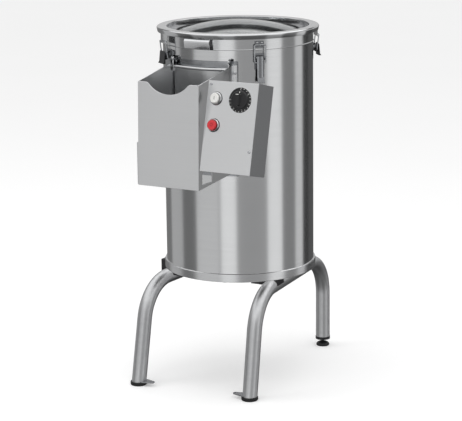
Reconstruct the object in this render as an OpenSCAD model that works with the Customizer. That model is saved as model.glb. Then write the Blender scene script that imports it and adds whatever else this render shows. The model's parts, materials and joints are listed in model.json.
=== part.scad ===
// Commercial potato peeler: a drum with an abrasive disc on a three-legged tube stand,
// a discharge door with a deep hood at the front, a tilted control box and a clamped lid.
// Millimetres, +Z up, the hood faces -Y and the floor is at z = 0.

/* [Stand] */
// Height of the drum's underside above the floor
stand_h = 319; // [290:1:360]
// Outer diameter of the stand tubes
tube_d = 40; // [34:1:42]
// Wall of the stand tubes
tube_wall = 2; // [1.5:0.1:3]
// Centre-line radius of the tube bends
bend_r = 115; // [95:1:125]
// Lean of the two front legs from upright, in degrees
leg_splay = 11; // [6:0.5:13]
// Height of the saddle blocks between the tubes and the drum
saddle_h = 26; // [18:1:34]
// Length of a saddle block along its tube
saddle_len = 46; // [36:1:56]
// Width of a saddle block from the tube's centre towards the drum's axis
saddle_reach = 58; // [54:1:66]
// Left front foot, place across the machine
left_foot_x = -208; // [-215:1:-200]
// Left front foot, place along the machine
left_foot_y = -205; // [-220:1:-195]
// Right front foot, place across the machine
right_foot_x = 125; // [118:1:132]
// Right front foot, place along the machine
right_foot_y = -180; // [-190:1:-170]
// Rear foot, place across the machine
rear_foot_x = 76; // [70:1:84]
// Rear foot, place along the machine
rear_foot_y = 352; // [345:1:360]
// Turn of the left tube towards the drum's axis, in degrees
left_tube_turn = 3; // [0:0.5:5]
// Length of the left tube's level run under the drum
left_run = 130; // [120:1:150]
// Height of the black caps on the front feet
cap_h = 10; // [8:0.5:14]
// Wall of the black caps
cap_wall = 2.3; // [1.5:0.1:3]
// Floor of the black caps under the tube's end
cap_floor = 3; // [2:0.5:5]
// Length of an anchor tab out from its tube
tab_len = 30; // [26:1:36]
// Width of an anchor tab at its tube
tab_w = 28; // [24:1:32]
// Thickness of the anchor tabs
tab_t = 3; // [2:0.5:4]
// Diameter of the hole in an anchor tab
tab_hole_d = 9; // [7:0.5:10]
// Height of the rear tube's lower end above the floor
rear_tube_z = 28; // [26:1:34]
// Diameter of the levelling foot's pad
pad_d = 38; // [34:1:42]
// Height of the levelling foot's pad
pad_h = 15; // [12:1:17]
// Diameter of the levelling foot's stud
stud_d = 10; // [8:1:12]

/* [Drum] */
// Outer diameter of the drum's shell
drum_d = 400; // [396:1:408]
// Wall of the drum's shell
shell_t = 1.5; // [1:0.1:2]
// Height of the drum from its underside to the lid seam
drum_h = 615; // [605:1:640]
// Height of the base ring
ring_h = 22; // [18:1:28]
// How far the base ring stands proud of the shell
ring_proud = 5.5; // [4:0.5:8]
// Sheet of the base ring and the plates
sheet_t = 1.5; // [1:0.1:2]
// Thickness of the base plate
base_plate_t = 3; // [2:0.5:5]
// Height of the chamber floor's top above the drum's underside
floor_h = 251; // [240:1:258]
// Thickness of the chamber floor
floor_t = 3; // [2:0.5:5]
// Thickness of the abrasive lining with its carrier
lining_t = 13; // [9:0.5:15]
// Height of the abrasive lining's top below the lid seam
lining_top_gap = 16; // [12:1:30]

/* [Discharge] */
// Width of the discharge opening
opening_w = 152; // [140:1:154]
// Height of the discharge opening
opening_h = 240; // [220:1:244]
// Bottom of the discharge opening above the drum's underside
opening_z = 321; // [318:1:330]
// Width of the frame plate round the opening
frame_w = 196; // [192:1:200]
// Thickness of the frame plate
frame_t = 2; // [1.5:0.1:2.5]
// Thickness of the door seal
seal_t = 2; // [1.5:0.1:2.5]
// Lap of the door and its seal over the opening's edge
door_lap = 8; // [6:0.5:9]
// Thickness of the door plate
door_t = 2; // [1.5:0.1:2.5]
// Radius of the rolled lip on top of the door
lip_r = 4.5; // [3.5:0.5:5]
// Height of the hinge pins above the opening's top
pivot_up = 23; // [21:1:26]
// Distance of the hinge pins in front of the drum's axis
pivot_out = 193; // [192:0.5:195]
// Radius of the hinge pins
pivot_r = 4; // [3:0.5:4.5]

/* [Hood] */
// Outer width of the discharge hood
hood_w = 178; // [176:1:180]
// Sheet of the hood
hood_t = 2; // [1.2:0.1:2]
// Distance of the hood's front, at its top, in front of the drum's axis
hood_reach = 361; // [355:1:368]
// How much further out the front stands at its bottom
hood_flare = 8; // [0:1:12]
// Height of the hood's front wall
hood_front_h = 266; // [250:1:275]
// Bottom of the hood's front wall above the drum's underside
hood_z = 282; // [276:1:290]
// Rise of the hood's bottom edge from the front to the drum
hood_bottom_rise = 15; // [8:1:20]
// Rise of the hood's top edge from the front to the drum
hood_top_rise = 29; // [20:1:31]
// Depth of the scallop in the front wall's top
scallop_depth = 29; // [20:1:36]
// Half the width of the scallop at the wall's top
scallop_half_w = 60; // [50:1:66]
// Radius of the shoulders beside the scallop
shoulder_r = 12; // [8:1:16]
// Width of the hood's side flanges on the frame plate
flange_w = 8; // [7:0.5:9]

/* [Lid] */
// Height of the lid from its seam to the rim's top
lid_h = 41; // [38:1:46]
// Outer diameter of the lid's rim
rim_d = 432; // [429:1:436]
// Height of the rim's outer skirt
rim_skirt_h = 14; // [10:1:17]
// Inner diameter of the rim's flange
rim_inner_d = 382; // [378:1:386]
// Depth of the window pan below the rim's top
pan_depth = 16; // [13:1:20]
// Diameter of the domed window
window_d = 321; // [312:1:326]
// Rise of the window's dome
window_rise = 26; // [20:1:30]
// Thickness of the window
window_t = 3; // [2:0.5:4]
// Width of the front grip
grip_w = 76; // [60:1:90]
// Height of the front grip
grip_h = 25; // [20:1:28]
// Depth of the front grip out from the lid's band
grip_depth = 18; // [16:1:22]

/* [Latches] */
// Azimuth of the right front latch from the hood, in degrees
front_latch_az = 45; // [43:1:50]
// Azimuth of the rear latch
rear_latch_az = 225; // [215:1:235]
// Azimuth of the left side clamp
left_clamp_az = -36; // [-46:1:-35]
// Azimuth of the right side clamp
right_clamp_az = 130; // [120:1:138]
// Inner width between the latch base's ears
ear_gap = 20; // [18:1:22]
// Distance from a latch lever's pivot to its bail's pivot
bail_arm = 12; // [11:0.5:13]
// Radius of the latch pins
latch_pin_r = 2; // [1.5:0.1:2.5]
// Radius of the bail wire
wire_r = 1.6; // [1.2:0.1:1.9]
// Length of the steel lever below its pivot
lever_len = 50; // [42:1:56]
// Height of the black clamp lever below its pivot
grip_lever_len = 26; // [24:1:32]
// Width of the black clamp lever
grip_lever_w = 34; // [30:1:38]

/* [Drive] */
// Diameter of the abrasive disc
disc_d = 356; // [340:1:362]
// Thickness of the abrasive disc
disc_t = 9; // [7:0.5:10]
// Height of the disc's underside above the chamber floor
disc_up = 40; // [32:1:41]
// Height of the three ridges on the disc
ridge_h = 10; // [6:0.5:12]
// Diameter of the drive shaft
shaft_d = 25; // [20:1:28]
// Outer diameter of the shaft bearings
bearing_d = 47; // [42:1:52]
// Width of a shaft bearing
bearing_w = 14; // [12:1:16]
// Length of the bearing housing below the chamber floor
housing_len = 68; // [60:1:74]
// Radius of the large pulley
large_pulley_r = 85; // [78:1:88]
// Radius of the motor pulley
motor_pulley_r = 25; // [22:1:28]
// Width of the pulleys
pulley_w = 22; // [18:1:24]
// Distance from the drive shaft to the motor shaft
belt_centres = 124; // [122:1:126]
// Radius of the motor's body
motor_r = 64; // [58:1:66]
// Height of the motor's body above its flange
motor_h = 120; // [105:1:124]
// Thickness of the motor's flange
motor_flange_t = 9; // [7:1:11]
// Diameter of the motor shaft
motor_shaft_d = 19; // [16:1:20]

/* [Control box] */
// Left edge of the control panel, from the drum's axis
panel_x = 95; // [94:1:98]
// Width of the control panel
panel_w = 142; // [132:1:150]
// Slant height of the control panel
panel_h = 228; // [215:1:240]
// Lean of the panel from upright, in degrees
panel_lean = 13.5; // [10:0.5:15]
// Distance of the panel's lower edge in front of the drum's axis
panel_reach = 372; // [368:1:378]
// Height of the panel's lower edge above the drum's underside
panel_z = 335; // [325:1:345]
// Thickness of the panel plate
panel_t = 2; // [1.5:0.1:3]
// Depth of the control box behind the panel
box_depth = 82; // [74:1:86]
// Wall of the control box
box_t = 1.5; // [1:0.1:2]
// Radius of the box's rear corners
box_corner_r = 8; // [4:1:12]
// Place of both buttons from the panel's left edge
button_x = 26; // [24:1:32]
// Height of the start button up the panel
start_up = 184; // [170:1:190]
// Height of the stop button up the panel
stop_up = 117; // [100:1:130]
// Diameter of the push buttons
button_d = 22; // [18:1:22]
// Outer diameter of the button bezels
bezel_d = 32; // [29:1:34]
// Travel of the push buttons
button_travel = 4; // [3:0.5:4.5]
// Place of the timer from the panel's left edge
timer_x = 94; // [88:1:100]
// Height of the timer's centre up the panel
timer_up = 184; // [170:1:188]
// Diameter of the timer's dial
dial_d = 63; // [56:1:66]
// Width of the bracket that carries the control box
bracket_w = 54; // [46:1:60]
// Height of that bracket
bracket_h = 90; // [70:1:100]

/* [Connections] */
// Outer diameter of the water inlet's thread
inlet_d = 21; // [18:1:24]
// Free length of the water inlet
inlet_len = 16; // [14:1:22]
// Outer diameter of the drain outlet
drain_d = 48; // [42:1:50]
// Free length of the drain outlet
drain_len = 38; // [30:1:50]
// Diameter of the cable gland's hole
gland_bore_d = 9; // [7:0.5:10]

/* [Hidden] */
$fn = 96;

// Clearances
fit_gap = 0.3;
run_gap = 0.05;
weld_gap = 0.1;
far = 600;

// Stand
tube_r = tube_d / 2;
tube_z = stand_h - saddle_h - tube_r;
side_dx = rear_foot_x - right_foot_x;
side_dy = rear_foot_y - right_foot_y;
side_turn = atan2(-side_dx, side_dy);
side_span = norm([side_dx, side_dy]);
arc_start_z = tube_z - bend_r * (1 - sin(leg_splay));
splay_reach = arc_start_z * tan(leg_splay) + bend_r * cos(leg_splay);
side_run = side_span - splay_reach - bend_r;
rear_drop = tube_z - bend_r - rear_tube_z;
saddle_z = tube_z + 4;
bolt_in = 38;
left_saddles = [splay_reach, splay_reach + left_run - saddle_len];
side_saddles = [splay_reach, side_span - bend_r - saddle_len - 30];
bend_steps = 10;
tube_sides = 36;
bolt_r = 4;
bolt_head_h = 5.3;
bolt_head_r = 7.5;
nut_h = 6.5;
insert_lip = 1;

// Drum
drum_r = drum_d / 2;
shell_in_r = drum_r - shell_t;
seam_z = stand_h + drum_h;
ring_r = drum_r + ring_proud;
ring_flange_w = 96;
floor_z = stand_h + floor_h;
lining_out_r = shell_in_r - fit_gap;
lining_in_r = lining_out_r - lining_t;
shell_seat_z = stand_h + sheet_t;
seam_gasket_h = 2;
shell_top_z = seam_z - seam_gasket_h - fit_gap;

// Discharge
open_low = stand_h + opening_z;
open_top = open_low + opening_h;
frame_in_r = drum_r + fit_gap;
frame_out_r = frame_in_r + frame_t;
seal_in_r = frame_out_r + weld_gap;
seal_out_r = seal_in_r + seal_t;
door_in_r = seal_out_r + fit_gap;
door_out_r = door_in_r + door_t;
door_half_w = opening_w / 2 + door_lap;
door_low = open_low - door_lap;
door_top = open_top + door_lap - 4;
pivot_z = open_top + pivot_up;
arm_t = 3;
arm_gap = 1.5;
ear_t = 3;
ear_x = door_half_w + arm_gap;
pivot_eye_r = pivot_r + 3;

// Hood
hood_half_w = hood_w / 2;
hood_low = stand_h + hood_z;
hood_front_top = hood_low + hood_front_h;
hood_back_top = hood_front_top + hood_top_rise;
hood_back_low = hood_low + hood_bottom_rise;
hood_back_y = -sqrt(pow(frame_out_r + weld_gap, 2) - pow(hood_half_w, 2));
hood_root_y = hood_back_y + 4;
scallop_r = (pow(scallop_half_w, 2) + pow(scallop_depth, 2)) / (2 * scallop_depth);
shoulder_x = sqrt(pow(scallop_r + shoulder_r, 2)
    - pow(scallop_r - scallop_depth + shoulder_r, 2));
hood_screw_r = 4;
hood_screw_zs = [hood_back_low + 30, (hood_back_low + hood_back_top) / 2, hood_back_top - 22];

// Lid
rim_top = seam_z + lid_h;
rim_r = rim_d / 2;
rim_in_r = rim_inner_d / 2;
band_r = drum_r + 0.5;
band_in_r = band_r - sheet_t;
pan_z = rim_top - pan_depth;
window_r = window_d / 2;
window_base = pan_z + weld_gap + 1.2;
dome_r = (pow(window_r, 2) + pow(window_rise, 2)) / (2 * window_rise);
gasket_lip_r = window_r + fit_gap;
pan_in_r = window_r - 10;
grip_top = rim_top - rim_skirt_h - 0.5;

// Latches
pivot_drop = 22;
steel_r = drum_r + 9;
steel_bail_r = band_r + 8;
clamp_r = drum_r + 11;
clamp_bail_r = rim_r - sheet_t + wire_r + 0.5;
latch_z = seam_z - pivot_drop;
keeper_w = 24;
keeper_top = seam_z + 21;
hook_w = 44;
hook_drop = 37;
hook_low = rim_top - hook_drop;
hook_t = 1.5;
steel_bail_x = ear_gap / 2 + 2 + 1 + wire_r;
clamp_bail_x = grip_lever_w / 2 + 0.8 + wire_r;
wedge_back = latch_pin_r + 3.5;
lever_half = ear_gap / 2 - 0.8;
strut_up = 2;
base_up = 12;
steel_base_half = 13;
steel_base_down = 30;
clamp_base_half = 17;
clamp_base_down = 34;

// Drive
disc_r = disc_d / 2;
disc_z = floor_z + disc_up;
shaft_r = shaft_d / 2;
bearing_r = bearing_d / 2;
housing_wall = 9;
housing_r = bearing_r + housing_wall;
housing_flange_w = 28;
housing_flange_t = 8;
housing_top = floor_z - floor_t;
housing_low = housing_top - housing_len;
pulley_z = housing_low - pulley_w - 8;
belt_groove = 7;
belt_t = 6;
belt_side_gap = 4;
motor_y = -belt_centres;
plate_top = stand_h + sheet_t + base_plate_t;
motor_low = plate_top + motor_flange_t;
motor_shaft_r = motor_shaft_d / 2;
motor_bolt_off = 50;

// Control box
box_half_bore = button_d / 2 + 0.4;
bezel_proud = 6;
button_proud = 12;
block_w = 30;
block_depth = 34;
bracket_x = panel_x + 30;
bracket_low = stand_h + panel_z + 45;

// Origin: centre of the bounding box at the floor
x_low = left_foot_x - tube_r - cap_wall - 0.2;
x_high = panel_x + panel_w;
y_low = -panel_reach;
y_high = rear_foot_y + tube_r + insert_lip;
origin_shift = [-(x_low + x_high) / 2, -(y_low + y_high) / 2, 0];

// ---------- helpers ----------

// A straight round bar between two points
module bar(from, to, r) {
    d = to - from;
    len = norm(d);
    translate(from)
        rotate([0, acos(d.z / len), atan2(d.y, d.x)])
            cylinder(h = len, r = r);
}

// A ring or tube about the vertical axis
module ring(r_out, r_in, z_low, z_high) {
    translate([0, 0, z_low])
        difference() {
            cylinder(h = z_high - z_low, r = r_out, $fn = 180);
            translate([0, 0, -1]) cylinder(h = z_high - z_low + 2, r = r_in, $fn = 180);
        }
}

// The part of a tube about the drum's axis that faces the hood
module front_panel(r_out, r_in, half_w, z_low, z_high) {
    intersection() {
        ring(r_out, r_in, z_low, z_high);
        translate([-half_w, -r_out - 5, z_low - 1])
            cube([2 * half_w, r_out, z_high - z_low + 2]);
    }
}

// Turns a child drawn at the hood's side (-Y) to an azimuth round the drum
module at_azimuth(az) {
    rotate([0, 0, az]) children();
}

// Places a child on the leaning control panel: x right, y into the box, z up the panel
module on_panel() {
    translate([panel_x, -panel_reach, stand_h + panel_z])
        rotate([-panel_lean, 0, 0]) children();
}

// ---------- stand ----------

// Stations along a stand tube, as [y, z, turn from upright]: up a leaning leg from the origin,
// over a bend into the level run and, where drop is above 0, down a plain leg
function tube_stations(run, drop) =
    let (y1 = arc_start_z * tan(leg_splay), y2 = splay_reach + run)
    concat([[0, 0, leg_splay]],
        [for (i = [0:bend_steps])
            let (turn = leg_splay + (90 - leg_splay) * i / bend_steps)
            [y1 + bend_r * (cos(leg_splay) - cos(turn)),
                arc_start_z + bend_r * (sin(turn) - sin(leg_splay)), turn]],
        drop > 0
            ? [for (i = [0:bend_steps])
                let (turn = 90 * i / bend_steps)
                [y2 + bend_r * sin(turn), tube_z - bend_r * (1 - cos(turn)), 90 + turn]]
            : [],
        drop > 0 ? [[y2 + bend_r, tube_z - bend_r - drop, 180]] : [[y2, tube_z, 90]]);

// The ring of points round one station
function tube_ring(st, r) =
    [for (a = [0:tube_sides - 1])
        let (w = 360 * a / tube_sides)
        [r * cos(w), st[0] + r * sin(w) * cos(st[2]), st[1] - r * sin(w) * sin(st[2])]];

// The first ring, cut level with the floor at a height
function level_ring(ring, z) =
    [for (p = ring) p + [0, tan(leg_splay), 1] * (z - p.z)];

// All points of one wall of a tube
function tube_wall_points(stations, r, z_low) =
    [for (k = [0:len(stations) - 1])
        each (k == 0 ? level_ring(tube_ring(stations[k], r), z_low) : tube_ring(stations[k], r))];

// A hollow stand tube as one swept body
module bent_tube(run, drop, z_low) {
    stations = tube_stations(run, drop);
    count = len(stations);
    inner = count * tube_sides;
    last = (count - 1) * tube_sides;
    outer_faces = [for (k = [0:count - 2], a = [0:tube_sides - 1])
        let (b = (a + 1) % tube_sides, p = k * tube_sides, q = p + tube_sides)
        each [[p + a, p + b, q + b], [p + a, q + b, q + a]]];
    inner_faces = [for (f = outer_faces) [f[2] + inner, f[1] + inner, f[0] + inner]];
    start_faces = [for (a = [0:tube_sides - 1])
        let (b = (a + 1) % tube_sides)
        each [[b, a, a + inner], [b, a + inner, b + inner]]];
    end_faces = [for (a = [0:tube_sides - 1])
        let (b = (a + 1) % tube_sides)
        each [[last + a, last + b, last + b + inner], [last + a, last + b + inner,
            last + a + inner]]];
    polyhedron(points = concat(tube_wall_points(stations, tube_r, z_low),
            tube_wall_points(stations, tube_r - tube_wall, z_low)),
        faces = concat(outer_faces, inner_faces, start_faces, end_faces));
}

module at_left_foot() {
    translate([left_foot_x, left_foot_y, 0]) rotate([0, 0, -left_tube_turn]) children();
}

module at_right_foot() {
    translate([right_foot_x, right_foot_y, 0]) rotate([0, 0, side_turn]) children();
}

// The space of a front leg's straight part, to cut from what seats on it
module leg_space() {
    rotate([-leg_splay, 0, 0])
        translate([0, 0, -30]) cylinder(h = 90, r = tube_r + weld_gap);
}

// The space of a tube's level run
module run_space() {
    translate([0, splay_reach - 30, tube_z])
        rotate([-90, 0, 0]) cylinder(h = far, r = tube_r + weld_gap);
}

module side_tube() {
    color("silver") at_right_foot() bent_tube(side_run, rear_drop, cap_floor + weld_gap);
}

module front_left_tube() {
    color("silver") at_left_foot() bent_tube(left_run, 0, cap_floor + weld_gap);
}

// One block over a tube, reaching towards the drum's axis on the given side
module saddle_at(u, side) {
    translate([side > 0 ? -tube_r : -saddle_reach, u, saddle_z])
        cube([tube_r + saddle_reach, saddle_len, stand_h - saddle_z]);
}

module saddle_blocks() {
    color([0.08, 0.08, 0.08])
        difference() {
            union() {
                for (u = left_saddles) at_left_foot() saddle_at(u, 1);
                for (u = side_saddles) at_right_foot() saddle_at(u, -1);
            }
            at_left_foot() run_space();
            at_right_foot() run_space();
            bolt_holes();
        }
}

// Runs its child at each bolt that holds the stand to the drum
module at_saddle_bolts() {
    for (u = left_saddles)
        at_left_foot() translate([bolt_in, u + saddle_len / 2, 0]) children();
    for (u = side_saddles)
        at_right_foot() translate([-bolt_in, u + saddle_len / 2, 0]) children();
}

// Runs its child at each bolt that holds the motor; row -1 lies outermost, over the base ring
module at_motor_bolts(rows = [-1, 1]) {
    for (sx = [-1, 1])
        for (sy = rows)
            translate([sx * motor_bolt_off, motor_y + sy * motor_bolt_off, 0]) children();
}

module bolt_holes() {
    at_saddle_bolts() translate([0, 0, saddle_z - 1])
        cylinder(h = plate_top - saddle_z + 2, r = bolt_r + 0.2, $fn = 32);
    at_motor_bolts() translate([0, 0, stand_h - 1])
        cylinder(h = motor_low - stand_h + 2, r = bolt_r + 0.2, $fn = 32);
}

// A hexagon bolt with its nut, clamping from z_low to z_high
module bolt(z_low, z_high) {
    translate([0, 0, z_low - bolt_head_h]) cylinder(h = bolt_head_h, r = bolt_head_r, $fn = 6);
    translate([0, 0, z_low - 1]) cylinder(h = z_high - z_low + nut_h + 3, r = bolt_r, $fn = 32);
    translate([0, 0, z_high]) cylinder(h = nut_h, r = bolt_head_r, $fn = 6);
}

module frame_bolts() {
    color("gainsboro") {
        at_saddle_bolts() bolt(saddle_z, plate_top);
        at_motor_bolts([-1]) bolt(stand_h, motor_low);
        at_motor_bolts([1]) bolt(shell_seat_z, motor_low);
    }
}

module front_foot_caps() {
    color([0.08, 0.08, 0.08])
        difference() {
            union() {
                for (p = [[left_foot_x, left_foot_y], [right_foot_x, right_foot_y]])
                    translate(p) cylinder(h = cap_h, r = tube_r + cap_wall + 0.2);
            }
            intersection() {
                union() {
                    at_left_foot() leg_space();
                    at_right_foot() leg_space();
                }
                translate([-far, -far, cap_floor]) cube([2 * far, 2 * far, 100]);
            }
        }
}

// A pointed tab with an anchor hole, its root at the tube's centre and its tip along +X
module tab() {
    tip_r = 8;
    reach = tube_r + tab_len - tip_r;
    difference() {
        linear_extrude(tab_t)
            difference() {
                union() {
                    translate([reach, 0]) circle(r = tip_r);
                    polygon([[0, -tab_w / 2], [tube_r + 2, -tab_w / 2], [reach + 3, -tip_r * 0.9],
                        [reach + 3, tip_r * 0.9], [tube_r + 2, tab_w / 2], [0, tab_w / 2]]);
                }
                translate([reach, 0]) circle(r = tab_hole_d / 2, $fn = 48);
            }
    }
}

module anchor_tabs() {
    color("silver")
        difference() {
            union() {
                translate([left_foot_x, left_foot_y, cap_h + weld_gap]) tab();
                translate([right_foot_x, right_foot_y, cap_h + weld_gap])
                    rotate([0, 0, 180]) tab();
            }
            at_left_foot() leg_space();
            at_right_foot() leg_space();
        }
}

module rear_tube_insert() {
    plug_r = tube_r - tube_wall - fit_gap;
    color([0.08, 0.08, 0.08])
        translate([rear_foot_x, rear_foot_y, 0])
            difference() {
                union() {
                    translate([0, 0, rear_tube_z - 8]) cylinder(h = 8, r = tube_r + insert_lip);
                    translate([0, 0, rear_tube_z - 1]) cylinder(h = 24, r = plug_r);
                }
                cylinder(h = rear_tube_z + 30, r = stud_d / 2 + run_gap, $fn = 48);
            }
}

module levelling_foot() {
    pad_r = pad_d / 2;
    color([0.1, 0.1, 0.1])
        translate([rear_foot_x, rear_foot_y, 0]) {
            rotate_extrude()
                difference() {
                    intersection() {
                        translate([0, 4]) circle(r = pad_r);
                        square([pad_r, pad_h]);
                    }
                    translate([0, pad_h]) square([pad_r, pad_h]);
                }
            translate([0, 0, pad_h - 1])
                cylinder(h = rear_tube_z + 18 - pad_h, r = stud_d / 2, $fn = 48);
        }
}

// ---------- drum ----------

// The block that cuts the discharge opening through whatever wall stands in it
module opening_cut(grow) {
    translate([-opening_w / 2 - grow, -drum_r - 40, open_low - grow])
        cube([opening_w + 2 * grow, 100, opening_h + 2 * grow]);
}

module rear_cuts() {
    translate([0, 0, inlet_z()]) rotate([-90, 0, 0]) cylinder(h = far, r = inlet_d / 2 + weld_gap);
    translate([0, 0, drain_z()]) rotate([-90, 0, 0]) cylinder(h = far, r = drain_d / 2 + weld_gap);
    translate([gland_x(), 0, gland_z()])
        rotate([-90, 0, 0]) cylinder(h = far, r = 10 + weld_gap);
}

function inlet_z() = seam_z - 60;
function drain_z() = floor_z + drain_d / 2 + 1;
function gland_x() = -70;
function gland_z() = stand_h + 90;
gland_hex_r = 14;

module outer_shell() {
    color("silver")
        difference() {
            ring(drum_r, shell_in_r, shell_seat_z, shell_top_z);
            opening_cut(0);
            rear_cuts();
        }
}

module base_ring() {
    color("lightgray")
        difference() {
            rotate_extrude($fn = 180)
                polygon([[drum_r + fit_gap, stand_h + ring_h], [ring_r - 1, stand_h + ring_h],
                    [ring_r, stand_h + ring_h - 1], [ring_r, stand_h],
                    [ring_r - ring_flange_w, stand_h], [ring_r - ring_flange_w, shell_seat_z],
                    [ring_r - sheet_t, shell_seat_z], [ring_r - sheet_t, stand_h + ring_h - sheet_t],
                    [drum_r + fit_gap, stand_h + ring_h - sheet_t]]);
            bolt_holes();
        }
}

module base_plate() {
    color("gray")
        difference() {
            translate([0, 0, shell_seat_z])
                cylinder(h = base_plate_t, r = shell_in_r - fit_gap, $fn = 180);
            bolt_holes();
        }
}

module chamber_floor() {
    color("gray")
        difference() {
            translate([0, 0, floor_z - floor_t])
                cylinder(h = floor_t, r = shell_in_r - weld_gap, $fn = 180);
            translate([0, 0, floor_z - floor_t - 1]) cylinder(h = floor_t + 2, r = shaft_r + 2);
        }
}

module abrasive_lining() {
    color([0.25, 0.25, 0.27])
        difference() {
            ring(lining_out_r, lining_in_r, floor_z + drain_d + 6, seam_z - lining_top_gap);
            opening_cut(2);
            rear_cuts();
        }
}

module discharge_frame() {
    color("silver") {
        difference() {
            front_panel(frame_out_r, frame_in_r, frame_w / 2, hood_back_low - 12,
                hood_back_top + 8);
            opening_cut(0);
        }
        for (side = [-1, 1]) {
            difference() {
                union() {
                    translate([side * (ear_x + ear_t / 2) - ear_t / 2, 0, 0]) hinge_ear();
                    translate([side > 0 ? door_half_w - arm_t - 1 : -ear_x - ear_t,
                        -pivot_out, pivot_z])
                        rotate([0, 90, 0])
                            cylinder(h = ear_x + ear_t - door_half_w + arm_t + 1, r = pivot_r);
                }
                cylinder(h = far * 3, r = frame_in_r + frame_t / 2, $fn = 180);
            }
        }
    }
}

// One ear of the discharge frame that carries a hinge pin
module hinge_ear() {
    translate([0, -pivot_out, pivot_z])
        rotate([0, 90, 0]) cylinder(h = ear_t, r = pivot_eye_r);
    translate([0, -pivot_out, pivot_z - pivot_eye_r + 2])
        cube([ear_t, 30, 2 * pivot_eye_r - 2]);
}

module discharge_seal() {
    color([0.12, 0.12, 0.12])
        difference() {
            front_panel(seal_out_r, seal_in_r, door_half_w - 1, door_low, door_top - 1);
            opening_cut(0);
        }
}

module discharge_door() {
    lip_half_angle = asin(door_half_w / (door_out_r + 1));
    color([0.72, 0.73, 0.74])
        difference() {
            union() {
                front_panel(door_out_r, door_in_r, door_half_w, door_low, door_top);
                translate([0, 0, door_top])
                    rotate([0, 0, -90 - lip_half_angle])
                        rotate_extrude(angle = 2 * lip_half_angle, $fn = 180)
                            translate([door_in_r + door_t / 2 + lip_r - 0.5, 0])
                                circle(r = lip_r, $fn = 32);
                for (side = [-1, 1])
                    translate([side > 0 ? door_half_w - arm_t : -door_half_w, 0, 0]) door_arm();
            }
            for (side = [-1, 1])
                translate([side > 0 ? door_half_w - arm_t - 2 : -door_half_w - 2,
                    -pivot_out, pivot_z])
                    rotate([0, 90, 0]) cylinder(h = arm_t + 4, r = pivot_r + run_gap);
        }
}

// The arm from the door up to its hinge pin
module door_arm() {
    translate([0, -pivot_out, pivot_z])
        rotate([0, 90, 0]) cylinder(h = arm_t, r = pivot_eye_r);
    translate([0, -pivot_out - pivot_eye_r + 1, door_top - 12])
        cube([arm_t, 2 * pivot_eye_r - 3, pivot_z - door_top + 12]);
}

// ---------- hood ----------

// Runs a shape drawn in y and z across the machine, centred, as wide as w
module across(w) {
    translate([-w / 2, 0, 0]) rotate([90, 0, 90]) linear_extrude(w) children();
}

// Side of the hood in y and z; its back is cut to the drum later
module hood_side_outline() {
    polygon([[-hood_reach, hood_front_top], [-hood_reach - hood_flare, hood_low],
        [hood_root_y, hood_back_low], [hood_root_y, hood_back_top]]);
}

// The hollow behind the front wall, open at the top, the bottom and the back
module hood_hollow_outline() {
    beyond = 60;
    slip = beyond * hood_flare / hood_front_h;
    polygon([[-hood_reach + hood_t + slip, hood_front_top + beyond],
        [-hood_reach - hood_flare + hood_t - slip, hood_low - beyond],
        [hood_root_y + 1, hood_low - beyond], [hood_root_y + 1, hood_front_top + beyond]]);
}

// The scallop with its round shoulders, as x and z
function scallop_points() =
    let (turn = asin(shoulder_x / (scallop_r + shoulder_r)),
        low_z = hood_front_top - scallop_depth + scallop_r,
        side_z = hood_front_top - shoulder_r)
    concat([[-shoulder_x, hood_front_top + 5]],
        [for (i = [0:5]) [-shoulder_x + shoulder_r * sin(turn * i / 5),
            side_z + shoulder_r * cos(turn * i / 5)]],
        [for (i = [1:23]) let (t = turn * (2 * i / 24 - 1))
            [scallop_r * sin(t), low_z - scallop_r * cos(t)]],
        [for (i = [5:-1:0]) [shoulder_x - shoulder_r * sin(turn * i / 5),
            side_z + shoulder_r * cos(turn * i / 5)]],
        [[shoulder_x, hood_front_top + 5]]);

module scallop_cut() {
    translate([0, -hood_reach + 20, 0])
        rotate([90, 0, 0]) linear_extrude(hood_flare + 40) polygon(scallop_points());
}

// The cut-out near the lower front corner of the right wall
module hood_window_cut() {
    win_y = -hood_reach + 12;
    win_z = hood_low + 12;
    win_w = 48;
    win_h = 32;
    corner = 10;
    translate([hood_half_w - hood_t - 1, 0, 0])
        rotate([90, 0, 90])
            linear_extrude(hood_t + 2)
                polygon(concat([[win_y, win_z], [win_y + win_w, win_z], [win_y + win_w, win_z + win_h]],
                    [for (a = [90:15:180])
                        [win_y + corner * (1 + cos(a)), win_z + win_h + corner * (sin(a) - 1)]]));
}

// The strip by which one side wall is screwed to the frame plate
module hood_flange(side) {
    inset = 2;
    intersection() {
        translate([0, 0, hood_back_low + inset])
            cylinder(h = hood_back_top - hood_back_low - 2 * inset,
                r = frame_out_r + weld_gap + hood_t, $fn = 180);
        translate([side > 0 ? hood_half_w - hood_t : -hood_half_w - flange_w, -drum_r - 10, 0])
            cube([flange_w + hood_t, drum_r, far * 2]);
    }
}

module discharge_hood() {
    strip_h = 109;
    color([0.7, 0.71, 0.72])
        difference() {
            union() {
                difference() {
                    across(hood_w) hood_side_outline();
                    across(hood_w - 2 * hood_t) hood_hollow_outline();
                }
                hood_flange(-1);
                hood_flange(1);
                translate([-hood_half_w - 4, -hood_reach - hood_flare + 3, hood_low + 1])
                    cube([5, hood_t, strip_h]);
            }
            cylinder(h = far * 3, r = frame_out_r + weld_gap, $fn = 180);
            scallop_cut();
            hood_window_cut();
            at_hood_screws() cylinder(h = 30, r = 2.2, center = true, $fn = 32);
        }
}

// Runs its child at each hood screw, its axis pointing out of the drum
module at_hood_screws() {
    reach = frame_out_r + weld_gap + hood_t;
    spread = asin((hood_half_w + flange_w / 2) / reach);
    for (side = [-1, 1])
        for (z = hood_screw_zs)
            rotate([0, 0, side * spread])
                translate([0, -reach, z])
                    rotate([90, 0, 0]) children();
}

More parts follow.
